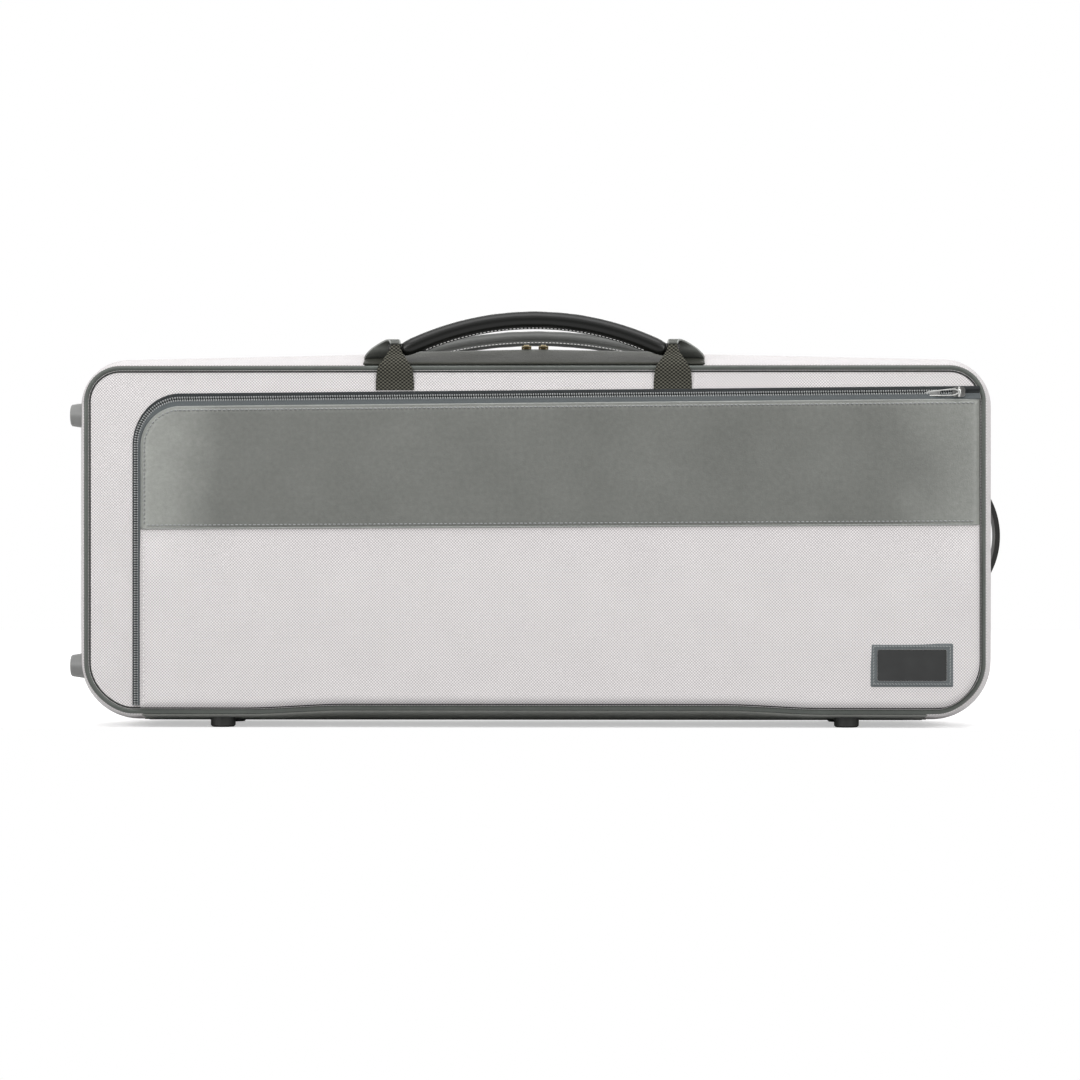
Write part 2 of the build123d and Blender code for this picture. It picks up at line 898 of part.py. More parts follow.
def lid_pieces():
    form = hull(LID)
    tray = pocket_tray()
    seam = slab(-case_width, case_width, seam_z, high_z)
    pieces = shared_half(LID, "lid", "lid_front_panel")
    pieces["lid_feet"] = feet(LID, lid_foot_depth, form)
    pieces["lid_end_studs"] = studs(LID, lid_stud_depth, form)
    pieces["front_webbing_loops"] = straps(LID, front_handle_y, front_strap_base)
    pieces["front_handle_tabs"] = tabs(LID, front_handle_y, form)
    pieces["pocket_leather_band"] = tray & seam
    pieces["pocket_fabric_panel"] = tray - seam
    pieces["pocket_zip_tape"] = pocket_tape()
    pieces["pocket_zip_teeth"] = pocket_chain()
    pieces["label_patch"] = label(label_width, label_height, label_thick, lid_depth + pocket_bulge, 3.0)
    plate_base = lid_depth + pocket_bulge + label_thick
    pieces["label_plate"] = label(plate_width, plate_height, plate_thick, plate_base, 2.0)
    pieces["lid_lining"] = lid_lining()
    pieces["turn_button_posts"] = button_posts()
    pieces["bow_tip_sleeves"] = tip_sleeves()
    return pieces


def front_strap_base(x):
    return pocket_height(x) + pocket_tape_width + 0.5


def rear_strap_base(x):
    return pocket_top + pocket_tape_width


def body_pieces():
    form = hull(BODY)
    bow = side_handle(form)
    pieces = shared_half(BODY, "body", "body_back_panel")
    pieces["body_feet"] = feet(BODY, body_foot_depth, form)
    pieces["body_end_studs"] = studs(BODY, body_stud_depth, form)
    pieces["rear_webbing_loops"] = straps(BODY, rear_handle_y, rear_strap_base)
    pieces["rear_handle_tabs"] = tabs(BODY, rear_handle_y, form)
    pieces["side_handle"] = bow
    pieces["side_handle_caps"] = side_caps(form, bow)
    pieces["bed_base"] = bed_base()
    foam = bed_foam()
    bouts = foam - bed_end_zone()
    pieces["viola_bed"] = bouts - bed_upper_zone()
    pieces["bed_upper_block"] = bouts & bed_upper_zone()
    pieces["bed_neck_block"] = foam & bed_end_zone()
    pieces["neck_rest"] = neck_rest()
    pieces["neck_strap"] = neck_strap()
    pieces["utility_box"] = utility_box()
    return pieces


def moving_pieces():
    rear_axis = Axis((0, rear_handle_y, handle_z), (1, 0, 0))
    pocket_pull = pocket_slider_place() * Rot(0, 0, 90) * pull_form(pull_length, 0)
    return {
        "front_handle": grip(front_handle_y),
        "rear_handle": grip(rear_handle_y).rotate(rear_axis, -rear_lean),
        "left_slider": crown_place(-slider_rest) * slider_form(slider_length, slider_half_width, (1,), 0),
        "right_slider": crown_place(slider_rest) * slider_form(slider_length, slider_half_width, (1,), 0),
        "left_pull": crown_place(-slider_rest) * pull_form(pull_length, pull_droop),
        "right_pull": crown_place(slider_rest) * pull_form(pull_length, pull_droop),
        "pocket_slider": pocket_slider_place()
        * slider_form(pocket_slider_length, pocket_slider_half, (-1, 1), 90),
        "pocket_pull": pocket_pull,
        "utility_lid": utility_lid(),
        "turn_button_lower": turn_button(bow_low),
        "turn_button_upper": turn_button(bow_high),
    }


def main():
    pieces = {}
    pieces.update(body_pieces())
    pieces.update(lid_pieces())
    pieces.update(moving_pieces())
    for name, piece in pieces.items():
        export_step(piece, "parts/" + name + ".step")


os.makedirs("parts", exist_ok=True)
main()
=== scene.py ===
"""Looks of the viola case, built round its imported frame. Lengths are millimetres until a mesh is made."""

import math

import bmesh
import bpy
from mathutils import Matrix, Vector, noise

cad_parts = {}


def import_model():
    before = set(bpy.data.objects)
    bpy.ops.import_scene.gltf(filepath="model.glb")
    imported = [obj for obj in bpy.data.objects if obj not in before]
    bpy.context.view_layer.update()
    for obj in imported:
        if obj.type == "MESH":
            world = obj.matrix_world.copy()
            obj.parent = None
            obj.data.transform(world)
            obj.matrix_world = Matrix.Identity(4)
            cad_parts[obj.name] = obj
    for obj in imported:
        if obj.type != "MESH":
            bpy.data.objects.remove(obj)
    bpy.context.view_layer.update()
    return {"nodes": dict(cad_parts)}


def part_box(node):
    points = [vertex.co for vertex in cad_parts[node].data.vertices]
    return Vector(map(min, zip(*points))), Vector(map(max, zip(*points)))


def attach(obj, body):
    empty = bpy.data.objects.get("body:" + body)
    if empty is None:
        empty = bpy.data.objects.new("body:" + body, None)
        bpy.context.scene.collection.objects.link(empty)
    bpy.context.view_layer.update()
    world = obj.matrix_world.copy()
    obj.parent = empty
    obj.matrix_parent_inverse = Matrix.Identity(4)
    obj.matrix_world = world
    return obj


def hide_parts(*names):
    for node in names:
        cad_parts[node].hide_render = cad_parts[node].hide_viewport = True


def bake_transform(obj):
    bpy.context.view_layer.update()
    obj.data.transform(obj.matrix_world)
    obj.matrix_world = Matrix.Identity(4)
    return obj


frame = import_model()
nodes = frame["nodes"]

MM = 0.001
LID = -1
BODY = 1
body_names = {LID: "lid", BODY: "case_body"}
words = {LID: "lid", BODY: "body"}
fine_step = 4.0

# The case's outline and depths, as in the frame
half = 405.0
low_z = 7.0
high_z = 325.0
top_radius = 41.0
low_radius = 51.0
crown_rise = 8.0
crown_flat = 5.0
draft = 10.0
top_ease = {LID: 2.6, BODY: 0.0}
top_lift = {LID: 1.6, BODY: 1.05}
top_puff = {LID: 0.5, BODY: 0.1}
split_y = -18.0
depth_of = {LID: 55.0, BODY: 85.0}
top_run = half - top_radius
low_run = half - low_radius
side_run = high_z - top_radius - low_z - low_radius

# Covers, piping and bands
cover_thick = 1.3
cover_start = 5.0
cover_rim = 0.6
piping_inset = 11.5
piping_radius = 2.25
top_band_half = 150.0
belly_drop = 3.4
belly_from = 165.0
belly_run = 90.0
belly_end_run = 50.0
hang_top = 75.0
hang_run = 55.0
spine_band_half = 345.0
pull_reach = 28.0
hinge_half = 348.0
hinge_z = 6.0

# Music pocket
pocket_left = -346.0
pocket_right = 390.6
pocket_low = 21.4
pocket_top = 283.0
pocket_width = pocket_right - pocket_left
pocket_radius = 35.0
pocket_low_radius = 36.6
pocket_slope = math.tan(math.radians(0.5))
pocket_bulge = 8.5
pocket_edge = 6.0
pocket_end_fall = 5.0
pocket_end_run = 78.0
seam_z = 175.0
zip_foot_z = 20.0
zip_squeeze_left = 0.5
zip_squeeze_top = 0.85
lid_face = split_y - depth_of[LID]
back_face = split_y + depth_of[BODY]
outer_face = {LID: lid_face, BODY: back_face}

# Handles
handle_x = 122.0
handle_z = 334.0
front_handle_y = -63.0
rear_handle_y = 57.0
handle_y = {LID: front_handle_y, BODY: rear_handle_y}
grip_half = 106.0
grip_rise = 23.0
grip_start = 3.0
grip_radius = 7.0
flange_reach = 9.3
flange_root = 6.6
rear_lean = math.radians(48.0)

# Bed
bed_face_y = 8.0
bed_middle_z = 166.0

# The way the lid's front faces
forward = Vector((0, -1, 0))


# Meshes


def new_object(name, data):
    """Puts a mesh, a lamp or a camera into the scene."""
    obj = bpy.data.objects.new(name, data)
    bpy.context.scene.collection.objects.link(obj)
    return obj


def make_mesh(name, points, faces, uvs=None):
    """A smooth mesh object from points in millimetres and UVs in millimetres, one per point."""
    mesh = bpy.data.meshes.new(name)
    mesh.from_pydata([Vector(p) * MM for p in points], [], faces)
    if uvs:
        layer = mesh.uv_layers.new(name="UVMap")
        for loop in mesh.loops:
            u, v = uvs[loop.vertex_index]
            layer.data[loop.index].uv = (u * MM, v * MM)
    mesh.shade_smooth()
    mesh.update()
    return new_object(name, mesh)


def grid_mesh(name, rows, uv_rows=None, wrap=False):
    """A surface through rows of points, with X and Z as its UVs if none are given."""
    if uv_rows is None:
        uv_rows = [[(p.x, p.z) for p in row] for row in rows]
    count = len(rows[0])
    points = [p for row in rows for p in row]
    uvs = [uv for row in uv_rows for uv in row]
    faces = []
    for i in range(len(rows) - 1):
        for j in range(count if wrap else count - 1):
            k = (j + 1) % count
            faces.append((i * count + j, i * count + k, (i + 1) * count + k, (i + 1) * count + j))
    return make_mesh(name, points, faces, uvs)


def thicken(obj, thick, offset=-1.0, edge=0.35):
    """Gives a sheet its thickness and a softened cut edge."""
    solid = obj.modifiers.new("thickness", "SOLIDIFY")
    solid.thickness = thick * MM
    solid.offset = offset
    solid.use_even_offset = True
    soften(obj, edge)


def soften(obj, width, segments=2):
    bevel = obj.modifiers.new("edges", "BEVEL")
    bevel.width = width * MM
    bevel.segments = segments
    bevel.limit_method = "ANGLE"
    bevel.angle_limit = math.radians(40)


def bake(obj):
    """Applies the modifiers, so that the mesh is final."""
    bpy.context.view_layer.update()
    shape = obj.evaluated_get(bpy.context.evaluated_depsgraph_get())
    mesh = bpy.data.meshes.new_from_object(shape)
    mesh.name = obj.name
    obj.modifiers.clear()
    obj.data = mesh
    return obj


def outward(obj):
    """Turns the faces outward."""
    shape = bmesh.new()
    shape.from_mesh(obj.data)
    bmesh.ops.recalc_face_normals(shape, faces=shape.faces)
    shape.to_mesh(obj.data)
    shape.free()
    return obj


def spread(start, stop, step):
    """Even stations from start to stop, about one step apart."""
    count = max(1, round(abs(stop - start) / step))
    return [start + (stop - start) * i / count for i in range(count + 1)]


def smooth(x):
    x = min(1.0, max(0.0, x))
    return x * x * (3 - 2 * x)


def wobble(x, z, size, seed):
    """Slow unevenness, from -1 to 1 about, for a spot and a feature size."""
    return noise.noise(Vector((x / size, z / size, seed)))


def dress(obj, body, slot, finish, *replaced):
    """Puts a finished piece on its body with its finish, in place of the CAD nodes named."""
    obj.data.materials.clear()
    obj.data.materials.append(paint[finish])
    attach(obj, body)
    if replaced:
        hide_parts(*replaced)


def circle(centre, one, two, radius, count, sides):
    """The first count points of a circle with so many sides, in the plane of two directions."""
    turns = [2 * math.pi * k / sides for k in range(count)]
    return [centre + (one * math.cos(turn) + two * math.sin(turn)) * radius for turn in turns]


def tube(name, path, radius, sides=12, closed=False, sections=None):
    """A tube along a path of points. sections gives a radius for each point instead."""
    count = len(path)
    rows = []
    uv_rows = []
    along = 0.0
    side_axis = None
    for i, spot in enumerate(path):
        before = path[i - 1] if i or closed else path[0]
        after = path[(i + 1) % count] if i < count - 1 or closed else path[-1]
        tangent = (after - before).normalized()
        if side_axis is None:
            guide = Vector((0, 1, 0)) if abs(tangent.y) < 0.9 else Vector((0, 0, 1))
            side_axis = tangent.cross(guide).normalized()
        side_axis = (side_axis - tangent * side_axis.dot(tangent)).normalized()
        size = sections[i] if sections else radius
        rows.append(circle(spot, side_axis, tangent.cross(side_axis), size, sides + 1, sides))
        uv_rows.append([(along, 2 * math.pi * radius * j / sides) for j in range(sides + 1)])
        if i < count - 1:
            along += (path[i + 1] - spot).length
    if closed:
        rows.append(rows[0])
        uv_rows.append([(along, v) for _, v in uv_rows[0]])
    obj = grid_mesh(name, rows, uv_rows)
    weld(obj)
    return outward(obj)


def weld(obj, distance=0.01):
    """Joins points that lie together and closes open ends."""
    shape = bmesh.new()
    shape.from_mesh(obj.data)
    bmesh.ops.remove_doubles(shape, verts=shape.verts, dist=distance * MM)
    ends = [e for e in shape.edges if e.is_boundary]
    if ends:
        bmesh.ops.holes_fill(shape, edges=ends, sides=64)
    shape.to_mesh(obj.data)
    shape.free()
    obj.data.shade_smooth()


def along_path(path, normals, step, start=0.0):
    """Places every step along a path: (point, tangent, normal). One normal may serve it all."""
    if isinstance(normals, Vector):
        normals = [normals] * len(path)
    places = []
    walked = 0.0
    wanted = start
    for i in range(len(path) - 1):
        leg = path[i + 1] - path[i]
        length = leg.length
        while length and wanted <= walked + length:
            share = (wanted - walked) / length
            normal = normals[i].lerp(normals[i + 1], share).normalized()
            places.append((path[i].lerp(path[i + 1], share), leg.normalized(), normal))
            wanted += step
        walked += length
    return places


def stitches(name, path, normals, pitch=4.2, length=3.1, radius=0.42, tilt=0.0):
    """One row of thread stitches that dip into the cloth at their ends."""
    points = []
    faces = []
    sides = 6
    rings = ((-0.5, -0.9, 0.25), (-0.36, 0.25, 0.85), (0.0, 0.6, 1.0), (0.36, 0.25, 0.85), (0.5, -0.9, 0.25))
    for spot, tangent, normal in along_path(path, normals, pitch, pitch / 2):
        across = tangent.cross(normal).normalized()
        start = len(points)
        for share, lift, size in rings:
            centre = spot + tangent * (share * length) + normal * (lift * radius)
            centre = centre + across * (tilt * share * length)
            points += circle(centre, across, normal, radius * size, sides, sides)
        for ring in range(len(rings) - 1):
            for k in range(sides):
                a = start + ring * sides + k
                b = start + ring * sides + (k + 1) % sides
                faces.append((a, b, b + sides, a + sides))
        faces.append(tuple(start + k for k in reversed(range(sides))))
        last = start + (len(rings) - 1) * sides
        faces.append(tuple(last + k for k in range(sides)))
    return outward(make_mesh(name, points, faces))


# The case's own surface


def outline_runs():
    """The crown's outline as runs, clockwise from the middle of the top."""
    return [
        ("line", 0, high_z, 1, 0, top_run),
        ("arc", top_run, high_z - top_radius, top_radius, 90, top_radius * math.pi / 2),
        ("line", half, high_z - top_radius, 0, -1, side_run),
        ("arc", low_run, low_z + low_radius, low_radius, 0, low_radius * math.pi / 2),
        ("line", low_run, low_z, -1, 0, 2 * low_run),
        ("arc", -low_run, low_z + low_radius, low_radius, -90, low_radius * math.pi / 2),
        ("line", -half, low_z + low_radius, 0, 1, side_run),
        ("arc", -top_run, high_z - top_radius, top_radius, 180, top_radius * math.pi / 2),
        ("line", -top_run, high_z, 1, 0, top_run),
    ]


runs = outline_runs()
girth = sum(run[5] for run in runs)
spine_middle = girth / 2


def ring(u):
    """(x, z, outward x, outward z) on the crown's outline, u clockwise from the top's middle."""
    u %= girth
    for kind, x, z, a, b, length in runs:
        if u <= length:
            break
        u -= length
    if kind == "line":
        return x + a * u, z + b * u, -b, a
    turn = math.radians(b) - u / a
    return x + a * math.cos(turn), z + a * math.sin(turn), math.cos(turn), math.sin(turn)


def belly(x):
    """How much lower the spine's edge hangs beside the feet than in the middle."""
    reach = abs(x)
    from_end = half - 5.0 - reach
    return belly_drop * smooth((reach - belly_from) / belly_run) * smooth(from_end / belly_end_run)


def hang(x, z):
    """The same drop on the outer faces, fading upward."""
    return belly(x) * smooth((hang_top - z) / hang_run)


def case_point(side, u, depth, out=0.0):
    """A point of one half's wall, out millimetres proud of it, and the wall's outward direction."""
    x, z, nx, nz = ring(u)
    share = max(0.0, (depth - crown_flat) / (depth_of[side] - crown_flat))
    shift = out - (draft - top_ease[side] * max(0.0, nz)) * share
    if nz > 0.999:
        z += crown_rise * (1 - abs(x) / top_run) * (1 - share)
    if nz < 0:
        z += nz * share * belly(x)
    return Vector((x + nx * shift, split_y + side * depth, z + nz * shift)), Vector((nx, 0, nz))


def around(side, depth, out, step=5.0, start=0.0, stop=None):
    """Points and normals along the wall at one depth."""
    stop = girth if stop is None else stop
    places = [case_point(side, u, depth, out) for u in spread(start, stop, step)]
    return [p for p, _ in places], [n for _, n in places]


def cover(name, facing, rows, uv_rows=None, thick=cover_thick):
    """A cloth or skin over rows of points, with its thickness."""
    obj = grid_mesh(name, rows, uv_rows)
    if facing == BODY:
        obj.data.flip_normals()
    thicken(obj, thick)
    return bake(obj)


def wall_strip(name, side, start, stop, lift, puff, seed, flat_to=-20.0, step=5.0):
    """A cover of one half's wall from one place round it to another, softly uneven past flat_to."""
    near = cover_start
    far = depth_of[side] - cover_rim
    rows = []
    uv_rows = []
    for depth in spread(near, far, step):
        row = []
        uv_row = []
        for u in spread(start, stop, step):
            edge = min(depth - near, far - depth, u - start, stop - u)
            soft = smooth(edge / 9.0) * smooth((depth - flat_to) / 12.0)
            out = lift + soft * (puff + 0.35 * puff * wobble(u, depth, 38.0, seed))
            row.append(case_point(side, u, depth, out)[0])
            uv_row.append((u, depth))
        rows.append(row)
        uv_rows.append(uv_row)
    return cover(name, side, rows, uv_rows)


def rounded_reach(z, low, high, low_r, high_r):
    """How far a corner's curve draws the edge in at height z."""
    if z < low + low_r:
        over = low + low_r - z
        return low_r - math.sqrt(max(0.0, low_r * low_r - over * over))
    if z > high - high_r:
        over = z - high + high_r
        return high_r - math.sqrt(max(0.0, high_r * high_r - over * over))
    return 0.0


def edge_stations(start, stop, count):
    """Stations that crowd towards both ends, where a soft edge turns."""
    near = (0.0, 0.5, 1.2, 2.2, 3.6, 5.5, 8.0, 11.0)
    margin = 14.0
    first = start + margin
    reach = stop - start - 2 * margin
    inner = [first + reach * i / count for i in range(count + 1)]
    return [start + e for e in near] + inner + [stop - e for e in reversed(near)]


def panel_rows(left, right, low, high, low_r, high_r, across, up, surface):
    """Rows over a panel with round corners. surface places (x, z) from its distance to the edge."""
    rows = []
    for z in edge_stations(low, high, up):
        reach = rounded_reach(z, low, high, low_r, high_r)
        row = []
        for x in edge_stations(left + reach, right - reach, across):
            edge = min(x - left - reach, right - reach - x, z - low, high - z)
            row.append(surface(x, z, edge))
        rows.append(row)
    return rows


def panel_sheet(name, side, inset, bow, seed):
    """The flat cover of one half's outer face, held by its piping and a little full in the middle."""

    def surface(x, z, edge):
        full = bow * smooth(edge / 40.0) + 0.25 * wobble(x, z, 60.0, seed) * smooth(edge / 20.0)
        return Vector((x, outer_face[side] + side * full, z - hang(x, z)))

    edges = -half + inset, half - inset, low_z + inset, high_z - inset + top_ease[side]
    corners = low_radius - inset, top_radius - inset
    return cover(name, side, panel_rows(*edges, *corners, 110, 42, surface))


def piping_cord(name, side):
    """The cord round the outer face."""
    depth = depth_of[side] - 1.0
    path, _ = around(side, depth, draft * 0.02 - 1.5, fine_step)
    return tube(name, path[:-1], piping_radius, 12, closed=True)


def zip_ends():
    """The zip's two ends as places round the outline, going over the top."""
    return spine_middle + hinge_half - girth, spine_middle - hinge_half


def zip_tape(name, side):
    """The woven tape beside the teeth, from one spine corner round the top to the other."""
    rows = []
    uv_rows = []
    for depth in (1.9, 2.9, 3.9, 5.0):
        points, _ = around(side, depth, -0.4, fine_step, *zip_ends())
        rows.append(points)
        uv_rows.append([(i * fine_step, depth) for i in range(len(points))])
    return cover(name, side, rows, uv_rows, 1.0)


def coil(name, path, normals, across_stop, pitch, height):
    """A zip's coil: one small bent loop after another, square to the path."""
    points = []
    faces = []
    profile = ((0.0, -0.3), (0.12, 0.72), (0.4, 1.0), (0.75, 0.9), (1.0, 0.45), (1.0, -0.3))
    corners = 2 * len(profile)
    wide = pitch * 0.27
    for spot, tangent, normal in along_path(path, normals, pitch, pitch / 2):
        across = tangent.cross(normal).normalized()
        start = len(points)
        for share, lift in profile:
            middle = spot + across * (across_stop * share) + normal * (lift * height)
            points += [middle + tangent * shift for shift in (-wide, wide)]
        for a in range(start, start + corners - 2, 2):
            faces.append((a, a + 1, a + 3, a + 2))
        faces.append(tuple(range(start, start + corners, 2)))
        faces.append(tuple(range(start + corners - 1, start, -2)))
        faces.append((start + corners - 2, start + corners - 1, start + 1, start))
    obj = outward(make_mesh(name, points, faces))
    soften(obj, 0.12, 1)
    return bake(obj)


def main_coil(name, side):
    path, normals = around(side, 0.25, -0.2, fine_step, *zip_ends())
    return coil(name, path, normals, -side * 1.6, 1.9, 0.8)


# Music pocket


def pocket_rise(x):
    return pocket_slope * (x - pocket_left - pocket_radius)


def pocket_edge_distance(x, z):
    """Distance inward from the pocket's edge; z is measured before the top's slope."""
    cx = (pocket_left + pocket_right) / 2
    cz = (pocket_low + pocket_top) / 2
    hx = (pocket_right - pocket_left) / 2
    hz = (pocket_top - pocket_low) / 2
    radius = 0.5
    if x < cx and z > cz:
        radius = pocket_radius
    if x > cx and z < cz:
        radius = pocket_low_radius
    qx = abs(x - cx) - hx + radius
    qz = abs(z - cz) - hz + radius
    outside = math.hypot(max(qx, 0.0), max(qz, 0.0))
    return radius - outside - min(max(qx, qz), 0.0)


def pocket_fall(x, z):
    """How far the leather's two ends lie back from the pocket's middle."""
    from_end = max(0.0, min(x - pocket_left, pocket_right - x))
    share = 1 - min(1.0, from_end / pocket_end_run)
    return pocket_end_fall * share * share * smooth((z - seam_z + 45.0) / 60.0)


def pocket_surface(x, z, lift):
    """The pocket's front at a spot: soft round edges, then nearly flat, with its upper ends lying back."""
    edge = max(0.0, pocket_edge_distance(x, z))
    share = min(1.0, edge / pocket_edge)
    bulge = (pocket_bulge - pocket_fall(x, z)) * math.sqrt(max(0.0, 1 - (1 - share) ** 2))
    full = 1.1 * smooth(edge / 90.0) + 0.3 * wobble(x, z, 70.0, 3.1) * smooth(edge / 25.0)
    y = lid_face - bulge - full - lift
    up = (z - pocket_low) / (pocket_top - pocket_low)
    return Vector((x, y, z + pocket_rise(x) * up - hang(x, z)))


def pocket_piece(name, low, high, lift):
    """One cloth of the pocket's front between two heights."""
    rows = []
    for z in edge_stations(low, high, round((high - low) / 5.0)):
        left_in = rounded_reach(z, pocket_low - 1, pocket_top, 0.5, pocket_radius)
        right_in = rounded_reach(z, pocket_low, pocket_top + 1, pocket_low_radius, 0.5)
        columns = edge_stations(pocket_left + left_in, pocket_right - right_in, 120)
        rows.append([pocket_surface(x, z, lift) for x in columns])
    return cover(name, LID, rows, None, 1.4)


def pocket_line(wide, tall, start_z, stop_x, turn_step):
    """(x, z) up the pocket's left side, round its corner and along its top."""
    middle_x = pocket_left + pocket_radius
    middle_z = pocket_top - pocket_radius
    line = [(middle_x - wide, z) for z in spread(start_z, middle_z, fine_step)]
    for turn in spread(math.pi, math.pi / 2, turn_step)[1:]:
        line.append((middle_x + wide * math.cos(turn), middle_z + tall * math.sin(turn)))
    return line + [(x, middle_z + tall) for x in spread(middle_x, stop_x, fine_step)[1:]]


def pocket_path(grow, y, stop_x=pocket_right):
    """The line beside the pocket's zipped sides, grow millimetres out, which rises along the top."""
    wide = pocket_radius + grow * zip_squeeze_left
    tall = pocket_radius + grow * zip_squeeze_top
    line = pocket_line(wide, tall, zip_foot_z, stop_x, 0.06)
    return [Vector((x, y, z + max(0.0, pocket_rise(x)))) for x, z in line]


def pocket_inner_line(inset, start_z, stop_x, lift):
    """A line on the pocket's front, inset from its zipped sides."""
    radius = pocket_radius - inset
    return [pocket_surface(x, z, lift) for x, z in pocket_line(radius, radius, start_z, stop_x, 0.08)]


def pocket_ribbon(name, grow_start, grow_stop, heights, thick):
    """A tape beside the pocket's edge. heights are its rises off the panel at even steps across."""
    rows = []
    uv_rows = []
    for i, height in enumerate(heights):
        grow = grow_start + (grow_stop - grow_start) * i / (len(heights) - 1)
        row = pocket_path(grow, lid_face - height)
        rows.append(row)
        uv_rows.append([(k * fine_step, grow) for k in range(len(row))])
    obj = grid_mesh(name, rows, uv_rows)
    thicken(obj, thick, 1.0, 0.2)
    return outward(bake(obj))


# Handles


def grip_frames(y, lean, step=fine_step):
    """Stations of the grip's arc: (centre, tangent, up)."""
    radius = (grip_half ** 2 + grip_rise ** 2) / (2 * grip_rise)
    reach = math.asin(grip_half / radius)
    centre_z = grip_start + grip_rise - radius
    turn = Matrix.Rotation(-lean, 3, "X")
    frames = []
    for angle in spread(-reach, reach, step / radius):
        up = Vector((math.sin(angle), 0, math.cos(angle)))
        tangent = Vector((math.cos(angle), 0, -math.sin(angle)))
        spot = Vector((0, 0, centre_z)) + up * radius
        frames.append((turn @ spot + Vector((0, y, handle_z)), turn @ tangent, turn @ up))
    return frames


def grip_profile(reach, swell):
    """The rolled leather's section: a round roll with its two edges sewn together below."""
    ring_points = []
    opening = 0.24
    for k in range(21):
        turn = math.pi + opening + (2 * math.pi - 2 * opening) * k / 20
        ring_points.append((grip_radius * swell * math.cos(turn), grip_radius * swell * math.sin(turn)))
    flange = max(reach, flange_root)
    left = [(-flange + 0.5, -1.5), (-flange * 0.85, -1.55), (-7.4 if flange > 7.5 else -flange, -1.6)]
    right = [(x, -w) for x, w in reversed(left)]
    return left + ring_points + right


def grip(name, y, lean, seed):
    """The rolled leather grip with its flange, fading to rounded ends."""
    frames = grip_frames(y, lean)
    last = len(frames) - 1
    rows = []
    uv_rows = []
    for i, (spot, tangent, up) in enumerate(frames):
        side_axis = tangent.cross(up)
        from_end = min(i, last - i) * fine_step
        reach = flange_root + (flange_reach - flange_root) * smooth((from_end + 2.0) / 12.0)
        middle = 1.0 - smooth((abs(i - last / 2) * fine_step - 30.0) / 40.0)
        swell = 1.0 + (0.012 + 0.03 * middle) * wobble(i * fine_step, 0, 13.0, seed)
        profile = grip_profile(reach, swell)
        rows.append([spot + up * n + side_axis * b for n, b in profile])
        uv_rows.append([(i * fine_step, k * 2.1) for k in range(len(profile))])
    for end, row_at, step_sign in ((0, 0, -1), (last, -1, 1)):
        spot, tangent, up = frames[end]
        side_axis = tangent.cross(up)
        for share in (0.35, 0.7, 1.0):
            size = 1.0 - 0.24 * share * share
            centre = spot + tangent * (step_sign * 11.0 * share)
            cap = [centre + (up * n + side_axis * b) * size for n, b in grip_profile(flange_root, 1.0)]
            if row_at == 0:
                rows.insert(0, cap)
                uv_rows.insert(0, uv_rows[0])
            else:
                rows.append(cap)
                uv_rows.append(uv_rows[-1])
    obj = grid_mesh(name, rows, uv_rows, wrap=True)
    weld(obj)
    outward(obj)
    ends = []
    turn = Matrix.Rotation(-lean, 3, "X")
    for sign in (-1, 1):
        path = [Vector((sign * x, y, handle_z)) for x in (128.4, 127.6, 116.0, 110.0)]
        path.append(turn @ Vector((sign * 103.0, 0, 3.2)) + Vector((0, y, handle_z)))
        ends.append(tube(name + "_end", path, 5.0, 16, sections=[4.2, 4.9, 5.0, 5.3, 6.0]))
    return join([obj] + ends)


def join(objects):
    """One object from several, in the first one's name."""
    first = objects[0]
    chosen = {"selected_objects": objects, "selected_editable_objects": objects}
    with bpy.context.temp_override(active_object=first, object=first, **chosen):
        bpy.ops.object.join()
    return first


def grip_stitches(name, y, lean):
    """The thread rows on both faces of the flange."""
    rows = []
    frames = grip_frames(y, lean)[2:-2]
    for face in (-1, 1):
        path = []
        normals = []
        for spot, tangent, up in frames:
            side_axis = tangent.cross(up)
            path.append(spot - up * (flange_reach - 1.3) + side_axis * (face * 1.6))
            normals.append(side_axis * face)
        rows.append(stitches(name, path, normals, 3.3, 2.3, 0.33))
    return join(rows)


def ribbon(name, stations, thick, columns=9, bow=0.0):
    """A strap through stations of (centre, across, normal, width)."""
    rows = []
    uv_rows = []
    along = 0.0
    for i, (centre, across, normal, width) in enumerate(stations):
        row = []
        for k in range(columns):
            share = 2 * k / (columns - 1) - 1
            row.append(centre + across * (share * width / 2) + normal * (bow * (1 - share * share)))
        rows.append(row)
        if i:
            along += (centre - stations[i - 1][0]).length
        uv_rows.append([(along, width * (k / (columns - 1) - 0.5)) for k in range(columns)])
    obj = grid_mesh(name, rows, uv_rows)
    thicken(obj, thick, 0.0, 0.3)
    return outward(bake(obj))


def curve_through(spots, step=2.0):
    """A smooth line through spots, Catmull-Rom, of tuples of any length."""
    line = []
    for i in range(len(spots) - 1):
        a = spots[max(0, i - 1)]
        b = spots[i]
        c = spots[i + 1]
        d = spots[min(len(spots) - 1, i + 2)]
        gap = math.dist(b[:2], c[:2])
        count = max(2, round(gap / step))
        for k in range(count):
            t = k / count
            spot = []
            for p, q, r, s in zip(a, b, c, d):
                bend = (2 * p - 5 * q + 4 * r - s) * t * t
                twist = (3 * q - p - 3 * r + s) * t ** 3
                spot.append(0.5 * (2 * q + (r - p) * t + bend + twist))
            line.append(tuple(spot))
    line.append(spots[-1])
    return line


